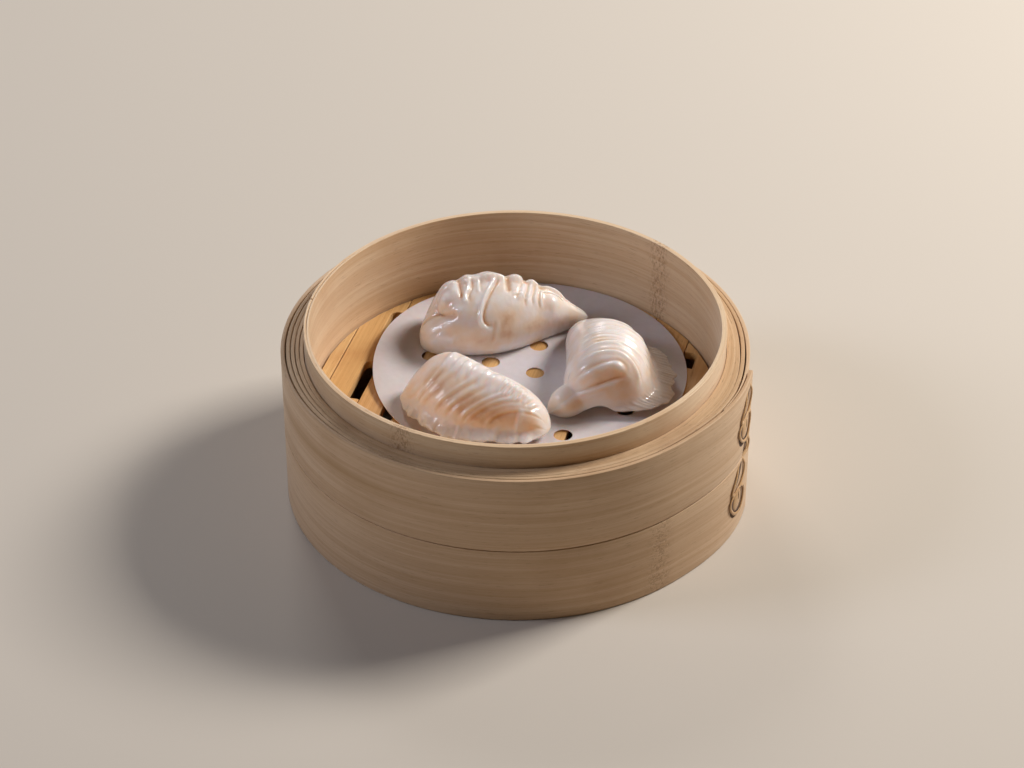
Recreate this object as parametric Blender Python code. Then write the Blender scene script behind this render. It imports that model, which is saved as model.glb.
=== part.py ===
"""Steamed crystal dumplings in their round bamboo steamer basket.

The basket stands on z = 0 with its axis on Z; +X is to the right and +Y to the back.
From the outside in it is two stacked coiled bands with a lap, two core hoops, a taller
inner hoop, a short floor ring with two cross-bars, slats with steam slots, a paper
liner with round holes, and three pleated half-moon dumplings.  Sizes are in metres.
"""

import bpy
import bmesh
import numpy as np
from dataclasses import dataclass
from math import cos, degrees, pi, radians, sin, sqrt

# --- clearances -----------------------------------------------------------------
GAP = 0.0003                    # air between pieces that touch
SLAT_GAP = 0.0004               # seam between two slats

# --- hoops ----------------------------------------------------------------------
HOOP_STEPS = 64                 # facets in a full turn
WALL_TOP = 0.0572               # top of the bands and the core
RIM_TOP = 0.0655                # top of the inner hoop
INNER_FOOT = 0.0090             # underside of the inner hoop, room for the rim of a lower basket
OVAL = 0.0004                   # the outer hoops are this much wider across X than across Y

BAND_R = 0.0795                 # mean outer radius of the bands
BAND_T = 0.0014
BAND_SEAM_Z = 0.0287            # where the two bands meet
BAND_START = -30.0              # tucked end of the coil, degrees from +X
BAND_SWEEP = 378.0              # one turn and the lap
LAP_RISE = 0.0018               # how far the free end rides outwards
LAP_RAMP = (343.0, 372.0)       # stretch of the coil that climbs over the tucked end
TUCK = 0.0007                   # how far the tucked end dips inwards
TUCK_RAMP = 10.0

CORE_OUTER_R = 0.0774
CORE_OUTER_T = 0.0009
CORE_OUTER_FOOT = 0.0008        # the thin outer core stays clear of the table
CORE_INNER_R = 0.0758
CORE_INNER_T = 0.0037
INNER_R = 0.0718
INNER_T = 0.0019

# --- floor ----------------------------------------------------------------------
FLOOR_TOP = 0.0355
SLAT_T = 0.0030
SLAT_R = 0.0693                 # the slats are cut to this circle
SLAT_TURN = 75.0                # direction of the slats, degrees from +X
SEAMS = (0.0090, 0.0230, 0.0370, 0.0510, 0.0646)
SLOT_W = 0.0045
SLOT_CORNER = 0.0025            # rounding of a slot's far corner
SLOTS_LEFT = (                  # start and end of each steam slot along the slat, seam by seam
    ((-0.030, -0.008), (0.030, 0.046)),
    ((-0.046, -0.026), (-0.006, 0.008), (0.034, 0.050)),
    ((-0.034, -0.014), (0.004, 0.024)),
    ((-0.017, 0.006), (0.024, 0.038)),
    (),
)
SLOTS_RIGHT = (
    ((-0.040, -0.018), (0.012, 0.026)),
    ((-0.034, -0.012), (0.008, 0.026)),
    ((-0.010, 0.010), (0.028, 0.042)),
    ((-0.022, -0.004), (0.0305, 0.040)),
    (),
)
RING_T = 0.0014                 # floor ring under the slat ends
RING_FOOT = 0.0100
BAR_W = 0.0090
BAR_H = 0.0045
BAR_AT = 0.0260                 # the cross-bars lie this far either side of the middle

# --- liner ----------------------------------------------------------------------
LINER_R = 0.0547
LINER_T = 0.0004
LINER_AT = (0.0051, 0.0134)
LINER_HOLES_AT = (0.0069, 0.0117)
LINER_HOLE_R = 0.00325
LINER_RINGS = ((0.0, 1, 0.0), (0.0168, 5, 85.0), (0.0380, 9, 84.0))   # radius, count, first angle
LINER_CURL = 0.0034             # lift of the curled edge at the back left
LINER_CURL_TURN = 152.0
LINER_CURL_SPREAD = 34.0
LINER_CURL_FROM = 0.74          # the curl starts at this share of the radius

# --- lacing ---------------------------------------------------------------------
LACE_TURN = -20.5               # degrees from +X
LACE_STAND = 0.0828             # radius on which the cane's middle line lies
CANE_R = 0.00055
LACE_LOOPS = (                  # middle height, half height, half width in degrees
    (0.0500, 0.0046, 2.2),
    (0.0400, 0.0042, 3.4),
    (0.0305, 0.0036, 2.4),
    (0.0215, 0.0040, 2.2),
    (0.0120, 0.0042, 3.4),
)

# --- dumplings ------------------------------------------------------------------
STATIONS = (-1.0, -0.5, 0.0, 0.5, 1.0)      # places along a dumpling where its sizes are given
DUMPLING_ALONG = 46
DUMPLING_AROUND = 16
FLANGE_CROWD = 0.7              # how strongly the facets crowd towards the flange


@dataclass
class Dumpling:
    """Sizes of one pleated half-moon dumpling in its own frame: long axis on x, front at -y."""
    name: str
    middle: tuple
    turn: float
    length: float
    front: tuple
    back: tuple
    crest: tuple
    height: tuple
    blunt: tuple
    waist: float
    tip_lift: tuple
    tip_shift: tuple
    pleats: int
    pleat_depth: float
    pleat_lean: float
    pleat_span: tuple
    pleat_reach: tuple
    flange: float
    flange_at: float
    flange_reach: tuple


DUMPLINGS = (
    Dumpling("dumpling_back", (-0.0052, 0.0352), 10.3, 0.059,
             front=(0.011, 0.012, 0.0125, 0.009, 0.0045), back=(0.012, 0.0135, 0.0125, 0.009, 0.005),
             crest=(0.006, 0.005, 0.003, 0.0005, -0.001), height=(0.018, 0.0215, 0.023, 0.019, 0.013),
             blunt=(5, 2.6), waist=0.008, tip_lift=(0.001, 0.0045), tip_shift=(0, 0),
             pleats=9, pleat_depth=0.0016, pleat_lean=0.02, pleat_span=(0.33, 0.95),
             pleat_reach=(-0.8, 0.85), flange=0.0006, flange_at=pi / 2, flange_reach=(-1, 1)),
    Dumpling("dumpling_front", (-0.014, -0.0152), -21.7, 0.055,
             front=(0.005, 0.0085, 0.011, 0.0115, 0.009), back=(0.017, 0.016, 0.013, 0.010, 0.008),
             crest=(0.011, 0.009, 0.005, 0.0005, -0.001), height=(0.016, 0.019, 0.0192, 0.018, 0.015),
             blunt=(4, 4), waist=0.003, tip_lift=(0.002, 0.002), tip_shift=(0, 0),
             pleats=12, pleat_depth=0.0009, pleat_lean=-0.42, pleat_span=(0.04, 0.80),
             pleat_reach=(-0.9, 0.9), flange=0.0032, flange_at=0.0, flange_reach=(-1, 1)),
    Dumpling("dumpling_right", (0.0192, 0.0112), 76.2, 0.057,
             front=(0.025, 0.029, 0.029, 0.022, 0.010), back=(0, 0.002, 0.002, 0.002, 0.001),
             crest=(-0.017, -0.018, -0.015, -0.010, -0.005), height=(0.020, 0.0215, 0.0205, 0.017, 0.012),
             blunt=(6, 3), waist=0.004, tip_lift=(0.002, 0.002), tip_shift=(0.002, 0),
             pleats=10, pleat_depth=0.0012, pleat_lean=0.0, pleat_span=(0.10, 0.97),
             pleat_reach=(-0.95, 0.9), flange=0.0075, flange_at=0.0, flange_reach=(-0.95, 0.75)),
)


# --- helpers --------------------------------------------------------------------
def clear_scene():
    for old in list(bpy.data.objects):
        bpy.data.objects.remove(old, do_unlink=True)


def make_material(name, colour, roughness):
    material = bpy.data.materials.new(name)
    material.use_nodes = True
    shader = material.node_tree.nodes["Principled BSDF"]
    shader.inputs["Base Color"].default_value = (*colour, 1.0)
    shader.inputs["Roughness"].default_value = roughness
    shader.inputs["Metallic"].default_value = 0.0
    material.diffuse_color = (*colour, 1.0)
    return material


def finish_object(name, bm, material, smooth_angle=35.0):
    """Turn a bmesh into a named object, shaded smooth below the given edge angle."""
    mesh = bpy.data.meshes.new(name)
    bm.to_mesh(mesh)
    bm.free()
    mesh.materials.append(material)
    mesh.shade_smooth()
    mesh.set_sharp_from_angle(angle=radians(smooth_angle))
    part = bpy.data.objects.new(name, mesh)
    bpy.context.collection.objects.link(part)
    return part


def make_cutter(name, bm):
    mesh = bpy.data.meshes.new(name)
    bm.to_mesh(mesh)
    bm.free()
    cutter = bpy.data.objects.new(name, mesh)
    cutter.hide_render = True
    cutter.display_type = "WIRE"
    bpy.context.collection.objects.link(cutter)
    return cutter


def cut(part, cutter):
    cut_mod = part.modifiers.new("cut", "BOOLEAN")
    cut_mod.operation = "DIFFERENCE"
    cut_mod.solver = "EXACT"
    cut_mod.object = cutter


def ease(value, low, high):
    """0 below low, 1 above high, and a smooth ramp between."""
    step = np.clip((value - low) / (high - low), 0.0, 1.0)
    return step * step * (3.0 - 2.0 * step)


# --- hoops ----------------------------------------------------------------------
def make_hoop(name, radius_at, thickness, foot, top, material, start=0.0, sweep=360.0):
    """A strip of the given thickness bent along radius_at(travel); a full turn is joined to itself."""
    steps = round(HOOP_STEPS * sweep / 360.0)
    bm = bmesh.new()
    bmesh.ops.create_grid(bm, x_segments=steps, y_segments=1, size=0.5)
    for vert in bm.verts:
        travel = (vert.co.x + 0.5) * sweep
        height = foot if vert.co.y < 0 else top
        angle = radians(start + travel)
        radius = radius_at(travel, angle)
        vert.co = (radius * cos(angle), radius * sin(angle), height)
    if sweep == 360.0:
        bmesh.ops.remove_doubles(bm, verts=bm.verts, dist=0.00001)
    hoop = finish_object(name, bm, material)
    wall = hoop.modifiers.new("wall", "SOLIDIFY")
    wall.thickness = thickness
    wall.offset = -1.0
    return hoop


def band_radius(travel, angle):
    """Outer radius of the coiled band: slightly oval, tucked in at its start, lapped at its end."""
    dip = TUCK * (1.0 - ease(travel, 0.0, TUCK_RAMP))
    lap = LAP_RISE * ease(travel, *LAP_RAMP)
    return BAND_R + OVAL * cos(2.0 * angle) - dip + lap


def make_hoops(band, core, inner):
    make_hoop("outer_band_lower", band_radius, BAND_T, 0.0, BAND_SEAM_Z - GAP / 2, band,
              BAND_START, BAND_SWEEP)
    make_hoop("outer_band_upper", band_radius, BAND_T, BAND_SEAM_Z + GAP / 2, WALL_TOP, band,
              BAND_START, BAND_SWEEP)
    make_hoop("core_outer", lambda travel, angle: CORE_OUTER_R + OVAL * cos(2.0 * angle), CORE_OUTER_T,
              CORE_OUTER_FOOT, WALL_TOP, core)
    make_hoop("core_inner", lambda travel, angle: CORE_INNER_R, CORE_INNER_T, 0.0, WALL_TOP, core)
    make_hoop("inner_hoop", lambda travel, angle: INNER_R, INNER_T, INNER_FOOT, RIM_TOP, inner)


# --- floor ----------------------------------------------------------------------
def floor_point(along, across, z):
    """A point given along and across the slats, in world axes; across grows to the left."""
    turn = radians(SLAT_TURN)
    return (along * cos(turn) - across * sin(turn), along * sin(turn) + across * cos(turn), z)


def slat_edge(low, side, slots):
    """Inner edge of a slat from its near to its far end, with the steam slots cut into it."""
    edge = []
    for start, end in slots:
        deep = low + SLOT_W
        edge.append((start, low))
        edge.append((start, deep))
        for step in range(4):
            angle = pi / 2 - step * pi / 6
            edge.append((end - SLOT_CORNER * (1 - cos(angle)), deep - SLOT_CORNER * (1 - sin(angle))))
        edge.append((end, low))
    return [(along, side * across) for along, across in edge]


def slat_end(low, high, far, side, steps=3):
    """The round end of a slat, cut to the floor's circle."""
    points = []
    for step in range(steps + 1):
        across = low + (high - low) * step / steps
        points.append((far * sqrt(SLAT_R ** 2 - across ** 2), side * across))
    return points


def make_slat(name, low, high, side, slots, material):
    """One slat between two seams; side is 1 to the left and -1 to the right."""
    outline = slat_end(low, high, -1, side)[::-1]
    outline += slat_edge(low, side, slots)
    outline += slat_end(low, high, 1, side)
    bm = bmesh.new()
    corners = [bm.verts.new(floor_point(along, across, FLOOR_TOP - SLAT_T)) for along, across in outline]
    face = bm.faces.new(corners)
    grown = bmesh.ops.extrude_face_region(bm, geom=[face])
    top = [item for item in grown["geom"] if isinstance(item, bmesh.types.BMVert)]
    bmesh.ops.translate(bm, verts=top, vec=(0.0, 0.0, SLAT_T))
    bmesh.ops.recalc_face_normals(bm, faces=bm.faces)
    return finish_object(name, bm, material)


def make_slats(material):
    half = SLAT_GAP / 2
    make_slat("slat_middle", -(SEAMS[0] - half), SEAMS[0] - half, 1, (), material)
    outer = SEAMS[1:] + (SLAT_R - GAP,)
    for side, word, rows in ((1, "left", SLOTS_LEFT), (-1, "right", SLOTS_RIGHT)):
        for number, (low, high, slots) in enumerate(zip(SEAMS, outer, rows), start=1):
            trim = half if number < len(SEAMS) else 0.0
            make_slat(f"slat_{word}_{number}", low + half, high - trim, side, slots, material)


def add_box(bm, along, across, z_middle, size):
    """A box lying square to the slats."""
    made = bmesh.ops.create_cube(bm, size=1.0)
    for vert in made["verts"]:
        vert.co = floor_point(along + vert.co.x * size[0], across + vert.co.y * size[1],
                              z_middle + vert.co.z * size[2])


def make_floor_frame(material):
    """The ring that carries the slat ends, and two bars that pass through it."""
    ring_outer = INNER_R - INNER_T - GAP
    ring_top = FLOOR_TOP - SLAT_T - GAP
    ring = make_hoop("floor_ring", lambda travel, angle: ring_outer, RING_T, RING_FOOT, ring_top, material)
    bar_z = ring_top - BAR_H / 2
    bar_reach = 2.0 * sqrt((ring_outer - GAP) ** 2 - (BAR_AT + BAR_W / 2) ** 2)
    windows = bmesh.new()
    for side, word in ((-1, "near"), (1, "far")):
        bar = bmesh.new()
        add_box(bar, side * BAR_AT, 0.0, bar_z, (BAR_W, bar_reach, BAR_H))
        finish_object(f"cross_bar_{word}", bar, material)
        add_box(windows, side * BAR_AT, 0.0, bar_z,
                (BAR_W + 2 * GAP, 2 * INNER_R, BAR_H + 2 * GAP))
    cut(ring, make_cutter("bar_windows", windows))


# --- liner ----------------------------------------------------------------------
def liner_lift(x, y):
    """Height of the paper over the floor: flat, with a soft curl at its back left edge."""
    dx, dy = x - LINER_AT[0], y - LINER_AT[1]
    reach = sqrt(dx * dx + dy * dy) / LINER_R
    off = (degrees(np.arctan2(dy, dx)) - LINER_CURL_TURN + 180.0) % 360.0 - 180.0
    curl = float(ease(reach, LINER_CURL_FROM, 1.0)) * float(np.exp(-(off / LINER_CURL_SPREAD) ** 2))
    return LINER_CURL * curl


def make_liner(material):
    """A round of paper, spun from its radius, given its thickness and then its round holes."""
    bm = bmesh.new()
    rings = (0.0, 0.45, LINER_CURL_FROM, 0.87, 1.0)
    line = [bm.verts.new((LINER_R * ring, 0.0, 0.0)) for ring in rings]
    edges = [bm.edges.new(pair) for pair in zip(line, line[1:])]
    bmesh.ops.spin(bm, geom=line + edges, cent=(0, 0, 0), axis=(0, 0, 1), angle=2 * pi, steps=44,
                   use_merge=True)
    bmesh.ops.remove_doubles(bm, verts=bm.verts, dist=0.00001)
    for vert in bm.verts:
        x, y = vert.co.x + LINER_AT[0], vert.co.y + LINER_AT[1]
        vert.co = (x, y, FLOOR_TOP + GAP + LINER_T + liner_lift(x, y))
    bmesh.ops.recalc_face_normals(bm, faces=bm.faces)
    bm.faces.ensure_lookup_table()
    if bm.faces[0].normal.z < 0:
        bmesh.ops.reverse_faces(bm, faces=bm.faces)
    liner = finish_object("paper_liner", bm, material)
    wall = liner.modifiers.new("paper", "SOLIDIFY")
    wall.thickness = LINER_T
    wall.offset = -1.0
    punch = bmesh.new()
    for radius, count, first in LINER_RINGS:
        for number in range(count):
            angle = radians(first + 360.0 * number / count)
            made = bmesh.ops.create_cone(punch, cap_ends=True, segments=10, radius1=LINER_HOLE_R,
                                         radius2=LINER_HOLE_R, depth=0.02)
            bmesh.ops.translate(punch, verts=made["verts"],
                                vec=(LINER_HOLES_AT[0] + radius * cos(angle),
                                     LINER_HOLES_AT[1] + radius * sin(angle), FLOOR_TOP))
    cut(liner, make_cutter("hole_punch", punch))


# --- lacing ---------------------------------------------------------------------
def make_lacing(material):
    """Loops of split cane that lie on the lap of the bands, one above the other."""
    for number, (middle, half_height, half_width) in enumerate(LACE_LOOPS, start=1):
        data = bpy.data.curves.new(f"cane_loop_{number}", "CURVE")
        data.dimensions = "3D"
        data.bevel_depth = CANE_R
        data.bevel_resolution = 1
        spline = data.splines.new("POLY")
        steps = 12
        spline.points.add(steps - 1)
        spline.use_cyclic_u = True
        for step, point in enumerate(spline.points):
            around = 2 * pi * step / steps
            turn = radians(LACE_TURN + half_width * cos(around))
            point.co = (LACE_STAND * cos(turn), LACE_STAND * sin(turn),
                        middle + half_height * sin(around), 1.0)
        data.materials.append(material)
        loop = bpy.data.objects.new(f"cane_loop_{number}", data)
        bpy.context.collection.objects.link(loop)


# --- dumplings ------------------------------------------------------------------
def along(values, s):
    """A size at the place s along the dumpling, smooth through its five stations."""
    return np.polyval(np.polyfit(STATIONS, values, len(STATIONS) - 1), s)


def pouch_surface(d, s, phi):
    """The unpleated skin: s runs from tip to tip, phi from the front foot (0) over the crest (pi/2)."""
    bluntness = np.where(s < 0, d.blunt[0], d.blunt[1])
    close = np.sqrt(np.maximum(1.0 - np.abs(s) ** bluntness, 0.0))
    tip = np.where(s < 0, d.tip_shift[0], d.tip_shift[1]) * s ** 2
    lift = np.where(s < 0, d.tip_lift[0], d.tip_lift[1]) * np.abs(s) ** 5
    across, upward = np.abs(np.cos(phi)), np.abs(np.sin(phi))
    front = -along(d.front, s) * close
    back = along(d.back, s) * close
    crest = along(d.crest, s) * close
    height = along(d.height, s) * close ** 1.3
    waist = d.waist * close
    edge = np.where(np.cos(phi) > 0, front, back)
    middle = (front + back) / 2
    over = np.sin(phi) > 0
    y = np.where(over, crest + (edge - crest) * across, middle + (edge - middle) * across ** 0.8)
    z = np.where(over, waist + (height - waist) * upward, waist * (1.0 - 1.5 * upward))
    return np.stack([d.length / 2 * s, y + tip, np.maximum(z, 0.0) + lift], axis=-1)


def fade(value, reach, soft_in, soft_out):
    """1 inside the reach and 0 outside it, with soft ends."""
    return ease(value, reach[0], reach[0] + soft_in) * (1.0 - ease(value, reach[1] - soft_out, reach[1]))


def dumpling_points(d, s, theta):
    """Skin points with pleats and flange, for places s along and theta around the dumpling."""
    phi = theta - FLANGE_CROWD * np.sin(theta - d.flange_at)
    turn = np.mod(phi, 2 * pi) / pi
    over = np.clip(turn, 0.0, 1.0) * (turn <= 1.0) + np.clip(2.0 - turn, 0.0, 1.0) * (turn > 1.0)
    place = s - d.pleat_lean * (over - 0.5) * (1.0 - s ** 2)
    step = 0.001
    reach = np.sqrt(np.maximum(1.0 - place ** 2, 0.0)) * step
    points = pouch_surface(d, place, phi)
    along_skin = pouch_surface(d, place + reach, phi) - pouch_surface(d, place - reach, phi)
    around_skin = pouch_surface(d, place, phi + step) - pouch_surface(d, place, phi - step)
    normal = np.cross(around_skin, along_skin)
    normal /= np.linalg.norm(normal, axis=-1, keepdims=True) + 1e-12
    pleated = fade(turn, d.pleat_span, 0.15, 0.12) * fade(s, d.pleat_reach, 0.15, 0.15)
    count = (s - d.pleat_reach[0]) / (d.pleat_reach[1] - d.pleat_reach[0]) * d.pleats
    saw = np.mod(count, 1.0)
    fold = np.where(saw < 0.7, saw / 0.7, (1.0 - saw) / 0.3)
    points = points + normal * (d.pleat_depth * pleated * (fold - 0.3))[..., None]
    off = np.mod(phi - d.flange_at + pi, 2 * pi) - pi
    fin = d.flange * np.exp(-(off / 0.10) ** 2) * fade(s, d.flange_reach, 0.2, 0.2)
    points[..., 1] -= fin * cos(d.flange_at)
    points[..., 2] += fin * sin(d.flange_at)
    points[..., 2] = np.maximum(points[..., 2], 0.0)
    return points


def make_dumpling(d, material):
    """A sphere whose poles become the tips, moved point by point onto the pleated skin."""
    bm = bmesh.new()
    bmesh.ops.create_uvsphere(bm, u_segments=DUMPLING_AROUND, v_segments=DUMPLING_ALONG, radius=1.0)
    ball = np.array([vert.co[:] for vert in bm.verts])
    theta = -np.arctan2(ball[:, 1], ball[:, 0])
    points = dumpling_points(d, np.clip(ball[:, 2], -1.0, 1.0), theta)
    turn = radians(d.turn)
    seat = FLOOR_TOP + LINER_T + 2 * GAP
    for vert, (x, y, z) in zip(bm.verts, points):
        place = (d.middle[0] + x * cos(turn) - y * sin(turn), d.middle[1] + x * sin(turn) + y * cos(turn))
        vert.co = (*place, seat + max(z, liner_lift(*place)))
    return finish_object(d.name, bm, material, smooth_angle=60.0)


def main():
    clear_scene()
    band = make_material("bamboo_band", (0.62, 0.44, 0.26), 0.55)
    core = make_material("bamboo_core", (0.42, 0.28, 0.15), 0.70)
    inner = make_material("bamboo_inner", (0.66, 0.44, 0.22), 0.50)
    slat = make_material("bamboo_slat", (0.62, 0.38, 0.16), 0.60)
    paper = make_material("liner_paper", (0.72, 0.68, 0.68), 0.80)
    cane = make_material("split_cane", (0.60, 0.38, 0.18), 0.55)
    skin = make_material("dumpling_skin", (0.78, 0.62, 0.52), 0.25)
    make_hoops(band, core, inner)
    make_slats(slat)
    make_floor_frame(slat)
    make_liner(paper)
    make_lacing(cane)
    for dumpling in DUMPLINGS:
        make_dumpling(dumpling, skin)


main()
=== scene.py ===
"""Steamed crystal dumplings in a round bamboo steamer basket, finished for a studio picture.

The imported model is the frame.  Hoops, lacing, paper liner and dumplings are built again here
in finer detail on the same sizes; the slats, floor ring and cross-bars keep their own meshes.
The basket's axis is Z, +X is to the right and +Y to the back.  Sizes are in millimetres until
a mesh is placed, and every finish is procedural.
"""

import logging
from dataclasses import dataclass, field, replace
from enum import Enum
from functools import partial
from math import atan2, cos, degrees, hypot, pi, radians, sin
from typing import Callable, Iterable

import bmesh
import bpy
import numpy as np
from mathutils import Euler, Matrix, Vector, noise


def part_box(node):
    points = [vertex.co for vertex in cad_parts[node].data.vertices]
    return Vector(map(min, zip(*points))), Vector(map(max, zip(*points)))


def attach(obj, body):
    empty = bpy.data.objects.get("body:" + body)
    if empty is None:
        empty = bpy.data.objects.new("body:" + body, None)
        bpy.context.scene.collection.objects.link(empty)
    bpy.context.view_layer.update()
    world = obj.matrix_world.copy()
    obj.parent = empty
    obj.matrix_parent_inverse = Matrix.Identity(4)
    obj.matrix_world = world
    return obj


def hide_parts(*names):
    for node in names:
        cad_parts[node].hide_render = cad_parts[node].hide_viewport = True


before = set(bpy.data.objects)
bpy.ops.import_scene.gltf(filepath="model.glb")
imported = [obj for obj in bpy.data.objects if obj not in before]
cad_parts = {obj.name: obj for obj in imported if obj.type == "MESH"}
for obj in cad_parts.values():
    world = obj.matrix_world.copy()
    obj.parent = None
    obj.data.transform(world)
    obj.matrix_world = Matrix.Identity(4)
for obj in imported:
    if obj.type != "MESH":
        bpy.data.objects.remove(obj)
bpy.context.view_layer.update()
LOG = logging.getLogger("steamer_basket")

MM = 0.001                      # metres in a millimetre
BODY = "root"
TURN = 360.0                    # degrees in a full turn
Shape = bmesh.types.BMesh
Socket = bpy.types.NodeSocket
BLEND = {"data_type": "RGBA", "out": 2}         # makes a Mix node blend the colours on sockets 6 and 7
EASED = {"interpolation_type": "SMOOTHSTEP"}    # gives a Map Range node a soft ramp


def box_mm(node: str) -> tuple[Vector, Vector]:
    """Low and high corner of a frame node in millimetres."""
    low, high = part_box(node)
    return low / MM, high / MM


FLOOR_TOP = box_mm("slat_middle")[1].z
SLAT_TURN = 75.0                # direction of the slats, degrees from +X


# --- small helpers ----------------------------------------------------------------------------
def linear(code: str) -> tuple[float, float, float, float]:
    """Linear colour of an sRGB hex code.

    Args:
        code: Six hex digits, such as "D9BE9C".

    Returns:
        Red, green, blue and an alpha of one.
    """
    parts = [int(code[place:place + 2], 16) / 255.0 for place in (0, 2, 4)]
    done = [part / 12.92 if part <= 0.04045 else ((part + 0.055) / 1.055) ** 2.4 for part in parts]
    return (*done, 1.0)


def ease(value, low: float, high: float):
    """Zero below low, one above high, and a smooth ramp between; works on arrays too."""
    step = np.clip((value - low) / (high - low), 0.0, 1.0)
    return step * step * (3.0 - 2.0 * step)


def bump_at(angle: float, middle: float, spread: float) -> float:
    """A soft bump, one at the middle angle in degrees and nearly zero two spreads away."""
    off = (angle - middle + 180.0) % TURN - 180.0
    return float(np.exp(-(off / spread) ** 2))


def wander(x: float, y: float, z: float, size: float) -> float:
    """Smooth noise between about -1 and 1 whose swells are the given size apart."""
    return noise.noise(Vector((x, y, z)) / size)


def add_node(tree: bpy.types.NodeTree, kind: str, *feeds, named: dict | None = None,
             out: int | str = 0, **settings) -> Socket:
    """Add a shader node with its settings and links.

    Args:
        tree: The node tree to add to.
        kind: The node's type name, without the prefix that all shader nodes share.
        feeds: Values for the first inputs in order, or the sockets that feed them.
        named: The same for other inputs, by name or number.
        out: Name or number of the output to give back.
        settings: Attributes of the node.

    Returns:
        The chosen output of the new node.
    """
    node = tree.nodes.new(f"ShaderNode{kind}")
    for name, value in settings.items():
        setattr(node, name, value)
    for key, value in {**dict(enumerate(feeds)), **(named or {})}.items():
        if isinstance(value, Socket):
            tree.links.new(value, node.inputs[key])
        else:
            node.inputs[key].default_value = value
    return node.outputs[out]


def new_material(name: str) -> tuple[bpy.types.Material, bpy.types.NodeTree, bpy.types.Node]:
    """An empty material, its tree and its Principled shader."""
    material = bpy.data.materials.new(name)
    material.use_nodes = True
    tree = material.node_tree
    return material, tree, tree.nodes["Principled BSDF"]


def set_sockets(shader: bpy.types.Node, values: dict[str, float]) -> None:
    """Set numbers that are the same all over a surface on the shader's own sockets."""
    for name, value in values.items():
        shader.inputs[name].default_value = value


# --- finishes ---------------------------------------------------------------------------------
class Grain(Enum):
    """Which way the fibres of a bamboo piece run."""

    AROUND = "around the basket"
    SLATS = "along the slats"
    ACROSS = "across the slats"


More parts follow.
